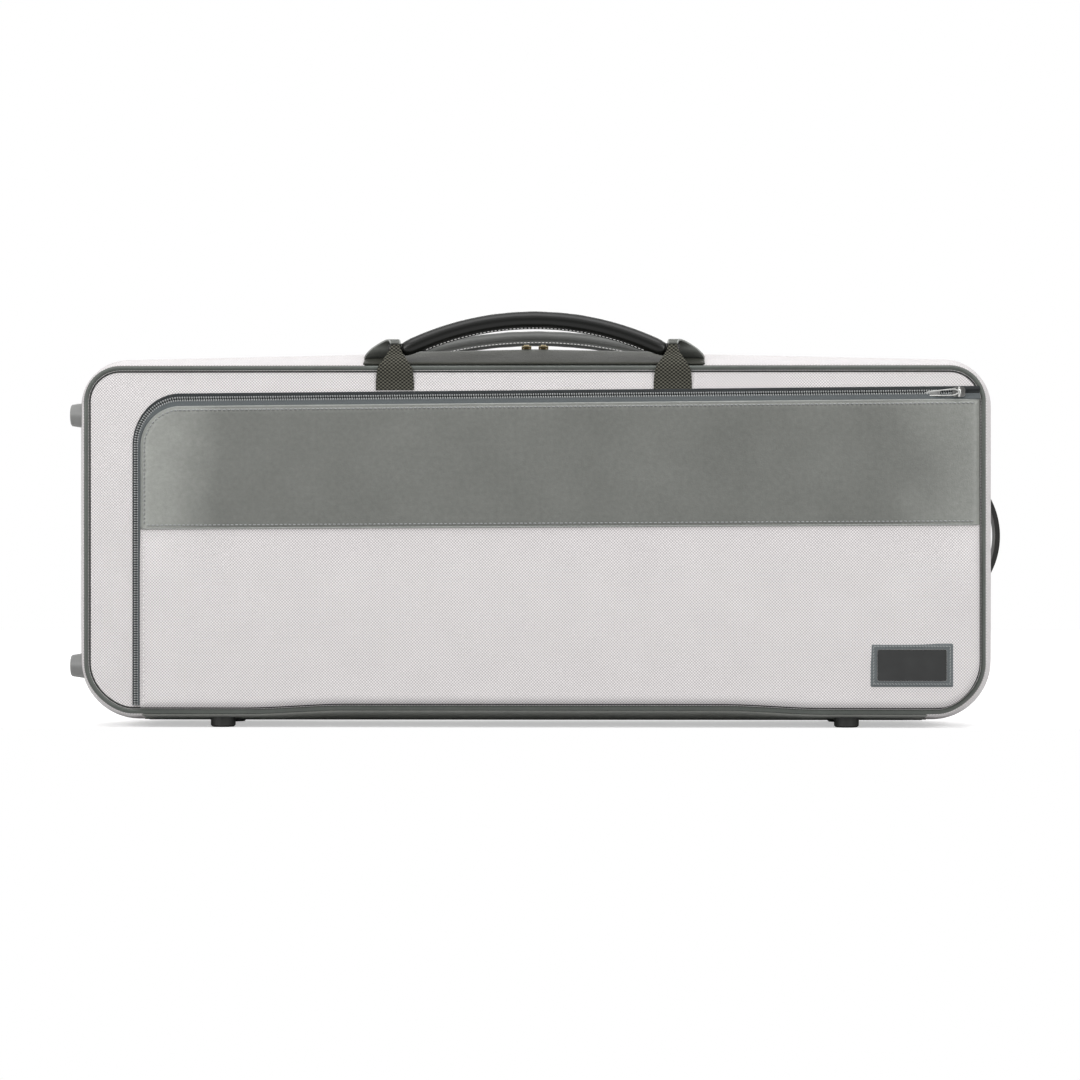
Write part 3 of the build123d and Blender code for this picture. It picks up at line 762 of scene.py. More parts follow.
def route(spots, x, sign, turn):
    """A strap's stations through spots of (y, z, width) and, if it slants, its shift along X."""
    line = curve_through(spots, 2.2)
    across = Vector((1, 0, 0))
    stations = []
    for i, (y, z, width, *shift) in enumerate(line):
        before = line[max(0, i - 1)]
        after = line[min(len(line) - 1, i + 1)]
        tangent = Vector((0, after[0] - before[0], after[1] - before[1])).normalized()
        centre = Vector((x + sign * sum(shift), y, z))
        stations.append((centre, across, tangent.cross(across) * turn, width))
    return stations


def strap_loop(name, side, sign, base_z):
    """Webbing from its base on the panel, over the piping and round the grip's end."""
    face = outer_face[side]
    axis_y = handle_y[side]
    out = side
    wrap = 6.2
    spots = [
        (face + out * 0.9, base_z, 33.5),
        (face + out * 1.0, base_z + 8.0, 33.3),
        (face + out * 2.4, 315.5, 31.0),
        (face + out * 2.3, 320.5, 25.5),
        (face + out * 0.5, 325.2, 19.0),
        (axis_y + out * 7.6, 329.0, 14.0),
        (axis_y + out * wrap, handle_z + 0.5, 9.0),
    ]
    for turn in (35, 70, 105, 140, 175, 215, 245):
        angle = math.radians(turn)
        width = 8.5 - 1.5 * math.sin(angle) ** 2
        spots.append((axis_y + out * wrap * math.cos(angle), handle_z + wrap * math.sin(angle), width))
    spots.append((axis_y + out * 3.5, 325.5, 14.0))
    spots.append((face - out * 2.2, 321.0, 17.0))
    return ribbon(name, route(spots, sign * handle_x, sign, -out), 1.5, 11, 0.25)


def box_path(x_low, x_high, z_low, z_high, y, stop, step):
    """Points round a sewn box, side by side."""
    corners = [(x_low, z_low), (x_high, z_low), (x_high, z_high), (x_low, z_high)]
    path = []
    for (x, z), (next_x, next_z) in zip(corners, corners[1:] + corners[:1]):
        for share in spread(0.0, stop, step):
            path.append(Vector((x + (next_x - x) * share, y, z + (next_z - z) * share)))
    return path


def loop_thread(base_z):
    """The sewn boxes that hold the rear webbing's ends to the back panel."""
    boxes = []
    reach = 13.5
    for sign in (-1, 1):
        x = sign * handle_x
        path = box_path(x - reach, x + reach, base_z + 2.5, base_z + 13.0, back_face + 1.9, 0.95, 0.12)
        boxes.append(stitches("rear_loop_thread", path, Vector((0, 1, 0)), 3.4, 2.5, 0.5))
    return join(boxes)


def tab_stations(side, sign):
    """Where the tapered leather tab runs, from the top band up to the webbing's loop."""
    axis_y = handle_y[side]
    x = sign * handle_x
    inward = -side
    base_y = split_y + side * 30.0
    base, _ = case_point(side, x, 30.0, 0.4)
    spots = [
        (base_y + inward * 12.0, base.z + 1.4, 28.0, 14.0),
        (base_y + inward * 2.0, base.z + 1.6, 28.0, 14.0),
        (base_y + side * 3.5, base.z + 4.0, 27.4, 13.6),
        (axis_y - side * 7.4, handle_z - 1.0, 22.5, 11.6),
        (axis_y - side * 7.2, handle_z + 2.2, 17.5, 9.8),
        (axis_y - side * 5.2, handle_z + 5.6, 12.5, 6.6),
        (axis_y - side * 1.4, handle_z + 7.6, 9.5, 3.0),
        (axis_y + side * 3.4, handle_z + 7.0, 8.4, 0.8),
        (axis_y + side * 6.6, handle_z + 4.2, 7.6, 0.0),
    ]
    return route(spots, x, sign, side)


def cut_edge(name, stations):
    """The pale cut edges down both sides of a leather tab."""
    edges = []
    for sign in (-1, 1):
        path = [centre + across * (sign * width / 2) for centre, across, _, width in stations]
        edges.append(tube(name, path, 0.95, 8))
    return join(edges)


# Materials


def new_material(name):
    """A material, its nodes and its shader."""
    material = bpy.data.materials.new(name)
    material.use_nodes = True
    tree = material.node_tree
    return material, tree, tree.nodes["Principled BSDF"]


def add(tree, kind, **values):
    """A new node, with its properties and sockets set by name."""
    node = tree.nodes.new(kind)
    for key, value in values.items():
        if hasattr(node, key):
            setattr(node, key, value)
        else:
            node.inputs[key.replace("_", " ")].default_value = value
    return node


def wire(tree, node, **values):
    """Sets a node's sockets by name, each to a plain value or from another node."""
    for key, value in values.items():
        socket = node.inputs[key.replace("_", " ")]
        if isinstance(value, bpy.types.NodeSocket):
            tree.links.new(value, socket)
        else:
            socket.default_value = value


def coordinates(tree, flat):
    """UV for cloth pieces, whose UVs are real metres, and object space for the rest."""
    node = add(tree, "ShaderNodeTexCoord")
    return node.outputs["UV" if flat else "Object"]


def split_xyz(tree, place):
    node = add(tree, "ShaderNodeSeparateXYZ")
    tree.links.new(place, node.inputs[0])
    return node.outputs


def math_node(tree, operation, *terms):
    node = add(tree, "ShaderNodeMath", operation=operation)
    for socket, value in zip(node.inputs, terms):
        if isinstance(value, (int, float)):
            socket.default_value = value
        else:
            tree.links.new(value, socket)
    return node.outputs[0]


def noise_node(tree, place, scale, detail=3.0, roughness=0.55):
    node = add(tree, "ShaderNodeTexNoise", Scale=scale, Detail=detail, Roughness=roughness)
    tree.links.new(place, node.inputs["Vector"])
    return node.outputs[0]


def ramp(tree, value, *stops):
    """A colour ramp through (position, colour) stops."""
    node = add(tree, "ShaderNodeValToRGB")
    elements = node.color_ramp.elements
    while len(elements) < len(stops):
        elements.new(0.5)
    for element, (position, colour) in zip(elements, stops):
        element.position = position
        element.color = (*colour, 1.0)
    tree.links.new(value, node.inputs[0])
    return node.outputs[0]


def mix(tree, share, a, b, blend="MIX"):
    """Mixes two colours, each a socket or a colour."""
    node = add(tree, "ShaderNodeMix", data_type="RGBA", blend_type=blend)
    for socket, value in ((node.inputs[0], share), (node.inputs[6], a), (node.inputs[7], b)):
        if isinstance(value, (int, float)):
            socket.default_value = value
        elif isinstance(value, tuple):
            socket.default_value = (*value, 1.0)
        else:
            tree.links.new(value, socket)
    return node.outputs[2]


def bump(tree, height, distance):
    node = add(tree, "ShaderNodeBump", Distance=distance * MM, Strength=1.0)
    tree.links.new(height, node.inputs["Height"])
    return node.outputs[0]


def grey(value):
    return (value, value, value)


def shades(tree, value, colour, low, high, start=0.3, stop=0.7):
    """A colour from low to high times its strength, as the value goes from start to stop."""
    darker, lighter = (tuple(c * factor for c in colour) for factor in (low, high))
    return ramp(tree, value, (start, darker), (stop, lighter))


def vary(tree, tone, value, low, high, start=0.3, stop=0.7):
    """A tone darkened and lightened by a value."""
    return mix(tree, 1.0, tone, ramp(tree, value, (start, grey(low)), (stop, grey(high))), "MULTIPLY")


def crossed_yarns(tree, place, yarn, along=1.0):
    """Yarns that pass over and under one another, as a height from 0 to 1."""
    split = split_xyz(tree, place)
    turns = math.pi / (yarn * MM)
    one = math_node(tree, "SINE", math_node(tree, "MULTIPLY", split[0], turns))
    two = math_node(tree, "SINE", math_node(tree, "MULTIPLY", split[1], turns * along))
    return math_node(tree, "MULTIPLY_ADD", math_node(tree, "MULTIPLY", one, two), 0.5, 0.5)


def woven(name, colour, yarn, contrast, relief, rough, sheen):
    """Plain woven cloth, with a slow change of tone."""
    material, tree, shader = new_material(name)
    place = coordinates(tree, True)
    weave = crossed_yarns(tree, place, yarn)
    tone = shades(tree, weave, colour, 1 - contrast, 1 + contrast, 0.0, 1.0)
    tone = vary(tree, tone, noise_node(tree, place, 26.0, 4.0), 0.98, 1.02)
    fine = math_node(tree, "MULTIPLY", noise_node(tree, place, 2600.0, 2.0), 0.25)
    relief = bump(tree, math_node(tree, "ADD", weave, fine), relief)
    wire(tree, shader, Base_Color=tone, Normal=relief, Roughness=rough)
    wire(tree, shader, Sheen_Weight=sheen, Sheen_Roughness=0.4)
    return material


def ribbed(name, colour, light, rib, relief, rough):
    """Webbing or tape: a coarse weave of a dark and a lighter tone."""
    material, tree, shader = new_material(name)
    place = coordinates(tree, True)
    weave = crossed_yarns(tree, place, rib, 0.8)
    tone = ramp(tree, weave, (0.25, colour), (0.9, light))
    tone = vary(tree, tone, noise_node(tree, place, 1500.0, 2.0), 0.8, 1.15)
    wire(tree, shader, Base_Color=tone, Normal=bump(tree, weave, relief), Roughness=rough)
    wire(tree, shader, Sheen_Weight=0.05, Specular_IOR_Level=0.25)
    return material


def painted_end_highlights(tree, place, tone):
    """Painted highlight on the pocket's leather: its tone is painted paler towards the left end and a little
    at the right one, where broad highlights fall.
    """
    drift = math_node(tree, "MULTIPLY", noise_node(tree, place, 11.0, 3.0), 0.10)
    along = math_node(tree, "ADD", split_xyz(tree, place)[0], drift)
    shift = -pocket_left / pocket_width - 0.06
    share = math_node(tree, "MULTIPLY_ADD", along, 1 / (pocket_width * MM), shift)
    stops = ((0.0, 0.95), (0.035, 0.84), (0.10, 0.52), (0.91, 0.52), (0.99, 0.76))
    # Painted highlight: paler tone at both ends of the leather, strongest at the left, darkest in the
    # middle.
    end_highlight = ramp(tree, share, *((position, grey(value)) for position, value in stops))
    return mix(tree, 1.0, tone, end_highlight, "MULTIPLY")


def leather(name, colour, grain, relief, rough, worn=0.12, coat=0.0, shine=0.5, ends=False):
    """Leather: pebbled grain of two sizes, with tone and gloss that drift."""
    material, tree, shader = new_material(name)
    place = coordinates(tree, True)
    cells = add(tree, "ShaderNodeTexVoronoi", Scale=grain, feature="SMOOTH_F1")
    bend = noise_node(tree, place, grain * 0.4, 3.0)
    tree.links.new(mix(tree, 0.0035, place, bend, "ADD"), cells.inputs["Vector"])
    fine = noise_node(tree, place, grain * 2.6, 4.0, 0.65)
    height = math_node(tree, "ADD", cells.outputs["Distance"], math_node(tree, "MULTIPLY", fine, 0.7))
    slow = noise_node(tree, place, 14.0, 6.0, 0.6)
    tone = shades(tree, slow, colour, 1 - worn, 1 + worn, 0.28, 0.72)
    tone = vary(tree, tone, fine, 0.88, 1.04, 0.35, 0.6)
    tone = vary(tree, tone, noise_node(tree, place, 230.0, 5.0, 0.7), 0.88, 1.1)
    # For the pocket: a painted highlight at the leather's ends.
    if ends:
        tone = painted_end_highlights(tree, place, tone)
    gloss = ramp(tree, slow, (0.25, grey(rough - 0.06)), (0.75, grey(rough + 0.07)))
    wire(tree, shader, Base_Color=tone, Roughness=gloss, Normal=bump(tree, height, relief))
    wire(tree, shader, Specular_IOR_Level=shine, Coat_Weight=coat, Coat_Roughness=0.2)
    return material


def rubbed_edges(tree):
    """1 on a piece's sharp edges and 0 on its flats."""
    rounded = add(tree, "ShaderNodeBevel", Radius=0.9 * MM, samples=4)
    sharp = add(tree, "ShaderNodeNewGeometry")
    facing = add(tree, "ShaderNodeVectorMath", operation="DOT_PRODUCT")
    tree.links.new(rounded.outputs[0], facing.inputs[0])
    tree.links.new(sharp.outputs["True Normal"], facing.inputs[1])
    return ramp(tree, facing.outputs["Value"], (0.80, grey(1.0)), (0.97, grey(0.0)))


def moulded(name, colour, rough, metallic, grain, relief, wear=None, coat=0.0):
    """Moulded or cast pieces: fine surface grain, uneven gloss and paler worn edges."""
    material, tree, shader = new_material(name)
    place = coordinates(tree, False)
    fine = noise_node(tree, place, grain, 3.0)
    slow = noise_node(tree, place, 60.0, 4.0)
    tone = shades(tree, slow, colour, 0.92, 1.06)
    if wear:
        tone = mix(tree, rubbed_edges(tree), tone, wear)
    gloss = ramp(tree, slow, (0.3, grey(rough - 0.05)), (0.7, grey(rough + 0.07)))
    wire(tree, shader, Base_Color=tone, Roughness=gloss, Normal=bump(tree, fine, relief))
    wire(tree, shader, Metallic=metallic, Coat_Weight=coat)
    return material


def velvet(name, colour):
    """Short pile: soft patches where the pile lies another way, with a pale sheen."""
    material, tree, shader = new_material(name)
    place = coordinates(tree, False)
    pile = noise_node(tree, place, 1400.0, 2.0)
    tone = shades(tree, noise_node(tree, place, 22.0, 5.0, 0.6), colour, 0.8, 1.25)
    tone = vary(tree, tone, pile, 0.8, 1.2)
    wire(tree, shader, Base_Color=tone, Normal=bump(tree, pile, 0.4), Roughness=0.9)
    wire(tree, shader, Sheen_Weight=0.6, Sheen_Roughness=0.35)
    return material


def wood(name, colour):
    """Polished wood with a plain grain."""
    material, tree, shader = new_material(name)
    grain = add(tree, "ShaderNodeTexWave", Scale=180.0, Distortion=5.0, Detail=3.0)
    tree.links.new(coordinates(tree, False), grain.inputs["Vector"])
    tone = shades(tree, grain.outputs[1], colour, 0.6, 1.3, 0.0, 1.0)
    relief = bump(tree, grain.outputs[1], 0.05)
    wire(tree, shader, Base_Color=tone, Normal=relief, Roughness=0.35, Coat_Weight=0.3)
    return material


finishes = {
    "cover_fabric": (woven, (0.66, 0.632, 0.635), 1.3, 0.42, 0.3, 0.8, 0.15),
    "band_leather": (leather, (0.165, 0.17, 0.157), 750.0, 0.12, 0.4, 0.05),
    # The pocket's leather; its True paints highlights at both ends.
    "pocket_leather": (leather, (0.315, 0.325, 0.30), 750.0, 0.12, 0.38, 0.08, 0.05, 0.5, True),
    # A darker copy of the band leather for the top band: painted shade of the handles above it.
    "top_leather": (leather, (0.040, 0.041, 0.034), 750.0, 0.12, 0.6, 0.1, 0.0, 0.08),
    "piping": (leather, (0.085, 0.095, 0.085), 900.0, 0.08, 0.38),
    # Near-black strip beside the piping: painted shadow of the seam.
    "welt": (leather, (0.012, 0.013, 0.012), 900.0, 0.05, 0.6),
    "edge_leather": (leather, (0.30, 0.31, 0.295), 900.0, 0.05, 0.5),
    "zip_tape": (ribbed, (0.012, 0.014, 0.015), (0.05, 0.055, 0.058), 0.7, 0.15, 0.85),
    "pocket_tape": (ribbed, (0.06, 0.068, 0.072), (0.15, 0.165, 0.17), 0.6, 0.12, 0.8),
    "zip_teeth": (moulded, (0.34, 0.35, 0.35), 0.35, 0.0, 600.0, 0.02),
    "webbing": (ribbed, (0.004, 0.004, 0.003), (0.13, 0.127, 0.10), 1.5, 0.6, 0.85),
    "handle_leather": (leather, (0.006, 0.0063, 0.0055), 900.0, 0.05, 0.4, 0.15, 0.35, 0.2),
    "rear_leather": (leather, (0.07, 0.072, 0.068), 900.0, 0.07, 0.4, 0.12, 0.1),
    "tab_leather": (leather, (0.11, 0.115, 0.105), 800.0, 0.1, 0.5, 0.1, 0.0, 0.35),
    "brass": (moulded, (0.17, 0.14, 0.085), 0.36, 1.0, 500.0, 0.01, (0.5, 0.42, 0.27)),
    "silver": (moulded, (0.42, 0.42, 0.41), 0.25, 1.0, 500.0, 0.01, (0.75, 0.75, 0.74)),
    "foot_rubber": (moulded, (0.022, 0.023, 0.021), 0.6, 0.0, 800.0, 0.05, (0.08, 0.08, 0.078)),
    "stud_plastic": (moulded, (0.22, 0.223, 0.218), 0.36, 0.0, 900.0, 0.04, (0.3, 0.3, 0.3)),
    "side_handle_plastic": (moulded, (0.006, 0.0055, 0.005), 0.5, 0.0, 700.0, 0.06, (0.1, 0.085, 0.075)),
    "patch_leather": (leather, (0.115, 0.13, 0.135), 900.0, 0.1, 0.55),
    "plate_gloss": (moulded, (0.045, 0.046, 0.046), 0.12, 0.0, 300.0, 0.002, (0.45, 0.45, 0.45), 0.6),
    "lining_velvet": (velvet, (0.055, 0.06, 0.068)),
    "cord_velvet": (velvet, (0.02, 0.022, 0.026)),
    "box_velvet": (velvet, (0.06, 0.065, 0.075)),
    "button_wood": (wood, (0.10, 0.045, 0.022)),
    "grey_thread": (woven, (0.30, 0.31, 0.31), 0.5, 0.1, 0.05, 0.7, 0.2),
    "thread": (woven, (0.55, 0.55, 0.53), 0.5, 0.1, 0.05, 0.7, 0.2),
    "pale_thread": (woven, (0.8, 0.79, 0.78), 0.5, 0.1, 0.05, 0.7, 0.2),
}
paint = {name: make(name, *values) for name, (make, *values) in finishes.items()}


# Both halves


def band_stitches(side):
    """A thread row near each end of the top's leather band, from the zip's tape to the piping."""
    name = words[side] + "_top_band_thread"
    rows = []
    for sign in (-1, 1):
        path = []
        normals = []
        for depth in spread(6.5, depth_of[side] - 3.0, 3.0):
            spot, normal = case_point(side, sign * (top_band_half - 3.0), depth, top_lift[side] + 0.42)
            path.append(spot)
            normals.append(normal)
        rows.append(stitches(name, path, normals))
    dress(join(rows), body_names[side], "band_leather", "thread")


def leather_bands(side):
    """The leather over the top and along the spine."""
    word = words[side]
    place = word + "_top_leather", side, -top_band_half, top_band_half
    top = wall_strip(*place, top_lift[side], top_puff[side], 1.0 + side)
    # The top band takes the darker copy of the band leather: painted shade of the handles.
    dress(top, body_names[side], "band_leather", "top_leather", word + "_top_band")
    place = word + "_spine_leather", side, spine_middle - spine_band_half, spine_middle + spine_band_half
    spine = wall_strip(*place, 1.0, 0.3, 4.0 + side)
    dress(spine, body_names[side], "band_leather", "band_leather", word + "_spine_band")


def outer_cloths(side):
    """The fabric over both ends and the outer face."""
    word = words[side]
    body = body_names[side]
    ends = []
    for start, stop in (
        (top_band_half - 1.0, spine_middle - spine_band_half + 1.0),
        (spine_middle + spine_band_half - 1.0, girth - top_band_half + 1.0),
    ):
        ends.append(wall_strip(word + "_end_cloth", side, start, stop, 0.2, 0.7, 7.0 + side, pull_reach))
    dress(join(ends), body, "cover_fabric", "cover_fabric", word + "_end_covers")
    sheet = panel_sheet(word + "_face_cloth", side, piping_inset, 0.9, 9.0 + side)
    dress(sheet, body, "cover_fabric", "cover_fabric", panel_nodes[side])


def piping_and_zip(side):
    """The cord round the outer face with a near-black strip beside it, a painted seam shadow, and the half's
    own side of the zip.
    """
    word = words[side]
    body = body_names[side]
    dress(piping_cord(word + "_piping_cord", side), body, "piping", "piping", word + "_piping")
    # A near-black tube in the crease between the piping and the face cloth: painted seam shadow.
    path, _ = around(side, depth_of[side] - 0.2, -4.3, fine_step)
    dress(tube(word + "_piping_welt", path[:-1], 0.9, 8, closed=True), body, "piping", "welt")
    dress(zip_tape(word + "_woven_tape", side), body, "zip_tape", "zip_tape", word + "_zip_tape")
    dress(main_coil(word + "_coil", side), body, "zip_teeth", "zip_teeth", word + "_zip_teeth")


def rim_stitches(side):
    """Thread on the end cloths beside the piping."""
    depth = depth_of[side] - cover_rim - 4.5
    rows = []
    for start, stop in (
        (top_band_half, spine_middle - spine_band_half),
        (spine_middle + spine_band_half, girth - top_band_half),
    ):
        path, normals = around(side, depth, 1.15, fine_step, start, stop)
        rows.append(stitches(words[side] + "_rim_thread", path, normals))
    dress(join(rows), body_names[side], "cover_fabric", "pale_thread")


def hinge_strip():
    """The woven hinge along the spine, a flat strip."""
    rows = []
    for y in spread(split_y - 14.0, split_y + 14.0, 1.75):
        stations = spread(-hinge_half, hinge_half, 6.0)
        rows.append([Vector((x, y, hinge_z + 0.1 * math.cos(x * 0.9))) for x in stations])
    obj = grid_mesh("spine_hinge", rows, [[(p.x, p.y) for p in row] for row in rows])
    thicken(obj, 0.9, 0.0)
    obj = outward(bake(obj))
    obj.data.materials.append(paint["webbing"])
    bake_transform(obj)
    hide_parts("body_hinge_tape", "lid_hinge_tape")


panel_nodes = {LID: "lid_front_panel", BODY: "body_back_panel"}
for side in (LID, BODY):
    leather_bands(side)
    outer_cloths(side)
    piping_and_zip(side)
    band_stitches(side)
    rim_stitches(side)
hinge_strip()


# Music pocket


def pocket_front():
    leather_band = pocket_piece("pocket_leather", seam_z, pocket_top, 0.9)
    dress(leather_band, "lid", "band_leather", "pocket_leather", "pocket_leather_band")
    cloth = pocket_piece("pocket_cloth", pocket_low, seam_z + 4.0, 0.0)
    dress(cloth, "lid", "cover_fabric", "cover_fabric", "pocket_fabric_panel")


def pocket_beads():
    """The folded edges of the pocket's leather and cloth, a little proud of their faces."""
    line = pocket_inner_line(0.9, seam_z, pocket_right - 1.5, 0.6)
    dress(tube("pocket_leather_fold", line, 0.95, 8), "lid", "band_leather", "edge_leather")
    heights = spread(pocket_low + 1.0, seam_z + 1.0, fine_step)
    line = [pocket_surface(pocket_left + 0.9, z, 0.2) for z in heights]
    dress(tube("pocket_cloth_fold", line, 0.9, 8), "lid", "cover_fabric", "cover_fabric")
    columns = spread(pocket_left + 2.0, pocket_right - 2.0, fine_step)
    line = [pocket_surface(x, seam_z + 0.5, 0.75) for x in columns]
    dress(tube("pocket_seam_fold", line, 0.75, 8), "lid", "band_leather", "edge_leather")


def pocket_rows():
    """Thread along the pocket's edges and seam."""
    inset = 3.7
    top = pocket_inner_line(inset, seam_z + 4.0, pocket_right - inset, 1.35)
    columns = spread(pocket_left + 6.0, pocket_right - 4.0, 5.0)
    seam = [pocket_surface(x, seam_z + 3.4, 1.3) for x in columns]
    rows = [stitches("pocket_edge_thread", line, forward, 3.9, 2.8, 0.6) for line in (top, seam)]
    dress(join(rows), "lid", "band_leather", "grey_thread")
    heights = spread(pocket_low + 2.0, seam_z - 3.0, 5.0)
    low = [pocket_surface(pocket_left + inset, z, 0.35) for z in heights]
    dress(stitches("pocket_cloth_thread", low, forward), "lid", "cover_fabric", "pale_thread")


def pocket_zip():
    """The zip's two tapes, the dark tape under them and its two rows of teeth."""
    inner = pocket_ribbon("pocket_inner_tape", -0.6, 5.6, (3.4, 2.4, 1.8, 1.5), 0.9)
    outer = pocket_ribbon("pocket_outer_tape", 9.3, 12.8, (1.5, 1.4, 1.2, 0.6), 0.9)
    lower = pocket_ribbon("pocket_under_tape", 4.6, 9.9, (0.6, 0.6), 0.5)
    dress(inner, "lid", "zip_tape", "pocket_tape", "pocket_zip_tape")
    dress(join([outer, lower]), "lid", "zip_tape", "zip_tape")
    rows = []
    for grow, sign in ((7.45, -1), (7.15, 1)):
        path = pocket_path(grow, lid_face - 1.0, 377.0)
        rows.append(coil("pocket_coil", path, forward, sign * 2.3, 2.1, 1.8))
    dress(join(rows), "lid", "zip_teeth", "zip_teeth", "pocket_zip_teeth")


def box_corners(node):
    """A CAD node's box, as its low and its high corner in millimetres."""
    return [[value / MM for value in corner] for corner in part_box(node)]


def label():
    """The sewn patch and its thread; the plate on it stays bare."""
    (left, face, bottom), (right, _, top) = box_corners("label_patch")

    def surface(x, z, edge):
        return Vector((x, face + 0.75 - 0.75 * smooth(edge / 2.2), z))

    rows = panel_rows(left, right, bottom, top, 1.0, 1.0, 12, 6, surface)
    patch = cover("label_leather", LID, rows, None, 1.6)
    dress(patch, "lid", "patch_leather", "patch_leather", "label_patch")
    inset = 2.6
    edges = left + inset, right - inset, bottom + inset, top - inset
    path = box_path(*edges, face - 0.05, 0.98, 0.1)
    path.append(path[0])
    thread = stitches("label_thread", path, forward, 2.6, 2.3, 0.42, 0.35)
    dress(thread, "lid", "patch_leather", "grey_thread")


pocket_front()
pocket_beads()
pocket_rows()
pocket_zip()
label()


# Handles, straps and fittings

for grip_name, node, body, y, lean, finish, seed in (
    ("front_grip", "front_handle", "front_handle", front_handle_y, 0.0, "handle_leather", 2.0),
    ("rear_grip", "rear_handle", "rear_handle", rear_handle_y, rear_lean, "rear_leather", 6.0),
):
    dress(grip(grip_name, y, lean, seed), body, "handle_leather", finish, node)
    dress(grip_stitches(grip_name + "_thread", y, lean), body, "handle_leather", "pale_thread")

for side, word, base_z in ((LID, "front", 297.0), (BODY, "rear", 292.0)):
    body = body_names[side]
    loops = [strap_loop(word + "_webbing", side, sign, base_z) for sign in (-1, 1)]
    dress(join(loops), body, "webbing", "webbing", word + "_webbing_loops")
    if side == BODY:
        dress(loop_thread(base_z), body, "webbing", "grey_thread")
    routes = [tab_stations(side, sign) for sign in (-1, 1)]
    leather_tabs = [ribbon(word + "_tabs", stations, 1.9, 7, 0.1) for stations in routes]
    dress(join(leather_tabs), body, "tab_leather", "tab_leather", word + "_handle_tabs")
    tab_edges = [cut_edge(word + "_tab_edges", stations) for stations in routes]
    dress(join(tab_edges), body, "tab_leather", "edge_leather")


def pocket_pull():
    """The slim pull: a bar with a long window, tapering to its tip, hung on the slider's bar."""
    low, high = box_corners("pocket_pull")
    root_x = high[0] - 1.9
    root_y = low[1] + 1.8
    z = (low[2] + high[2]) / 2
    turn = math.radians(11.8)
    upper = [(0.0, 1.3), (2.2, 1.5), (4.0, 2.5), (9.0, 2.6)]
    upper += [(20.0, 2.1), (27.0, 1.7), (29.5, 0.9), (30.2, 0.0)]
    loop = curve_through(upper + [(a, -b) for a, b in reversed(upper[:-1])], 0.8)

    def place(along, across):
        down = along * math.sin(turn)
        back = along * math.cos(turn)
        return Vector((root_x - back, root_y + down, z + across - 0.05 * along))

    rim = tube("slim_pull", [place(a, b) for a, b in loop], 0.62, 8)
    web_rows = []
    uv_rows = []
    for a, b in ((17.0, 2.1), (20.0, 1.9), (24.0, 1.6), (27.0, 1.3), (29.5, 0.4)):
        uv_rows.append([(a, b * t) for t in (-1, -0.5, 0, 0.5, 1)])
        web_rows.append([place(*spot) for spot in uv_rows[-1]])
    web = grid_mesh("slim_pull_web", web_rows, uv_rows)
    thicken(web, 0.8, 0.0, 0.1)
    barrel = tube("slim_pull_barrel", [place(0.0, b) for b in (-2.2, -1.0, 1.0, 2.2)], 1.5, 14)
    dress(join([rim, bake(web), barrel]), "music_pull", "silver", "silver", "pocket_pull")


pocket_pull()


# Inside


def soft_copy(name, sources, voxel, rounds, body):
    """A padded form from hard solids: one skin over all of them, its edges rounded off."""
    copies = [new_object(name, nodes[node].data.copy()) for node in sources]
    obj = join(copies) if len(copies) > 1 else copies[0]
    obj.data.materials.clear()
    weld(obj)
    skin = obj.modifiers.new("skin", "REMESH")
    skin.mode = "VOXEL"
    skin.voxel_size = voxel * MM
    skin.use_smooth_shade = True
    ease = obj.modifiers.new("ease", "SMOOTH")
    ease.factor = 0.5
    ease.iterations = rounds
    bake(obj)
    dress(obj, body, "lining_velvet", "lining_velvet", *sources)


def recess_cord():
    """Cord sewn round the bed's mouth, where the velvet turns in."""
    lower_x, upper_x = 250.0, 70.0
    lower_r, upper_r, waist_r, channel = 128.0, 102.0, 45.0, 32.0
    near, far, gap = lower_r + waist_r, upper_r + waist_r, lower_x - upper_x
    along = (near ** 2 + gap ** 2 - far ** 2) / (2 * gap)
    across = math.sqrt(near ** 2 - along ** 2)
    waist_x = lower_x - along
    low_turn = math.atan2(across, waist_x - lower_x)
    high_turn = math.atan2(across, waist_x - upper_x)
    neck_turn = math.pi - math.asin(channel / upper_r)
    upper = []
    for x, z, radius, turns in (
        (lower_x, 0.0, lower_r, spread(0.0, low_turn, 0.05)),
        (waist_x, across, waist_r, spread(low_turn + math.pi, high_turn + math.pi, 0.1)[1:]),
        (upper_x, 0.0, upper_r, spread(high_turn, neck_turn, 0.05)[1:]),
    ):
        upper += [(x + radius * math.cos(turn), z + radius * math.sin(turn)) for turn in turns]
    end_x = -372.0
    end_r = 20.0
    upper += [(x, channel) for x in spread(upper[-1][0] - 4.0, end_x + end_r, 6.0)]
    for turn in spread(0.2, math.pi / 2, 0.3):
        upper.append((end_x + end_r - end_r * math.sin(turn), channel - end_r + end_r * math.cos(turn)))
    loop = upper + [(x, -z) for x, z in reversed(upper[1:])]
    path = [Vector((x, bed_face_y + 0.6, bed_middle_z + z)) for x, z in loop]
    dress(tube("bed_cord", path, 1.7, 8, closed=True), "case_body", "lining_velvet", "cord_velvet")


def lid_pad():
    """The quilted pad that lines the lid, sunk along its crossing seams."""
    (left, _, bottom), (right, face, top) = box_corners("lid_lining")
    deep = 2.6
    pitch = 74.0

    def surface(x, z, edge):
        one = abs(math.sin(math.pi * (x + z - bed_middle_z) / pitch))
        two = abs(math.sin(math.pi * (x - z + bed_middle_z) / pitch))
        rise = deep * min(one, two) ** 0.45 * smooth(edge / 9.0)
        return Vector((x, face - deep + rise - 1.6 * (1 - smooth(edge / 3.0)), z))

    rows = panel_rows(left, right, bottom, top, 34.0, 24.0, 180, 70, surface)
    obj = cover("lid_pad", BODY, rows, None, 3.2)
    dress(obj, "lid", "lining_velvet", "lining_velvet", "lid_lining")


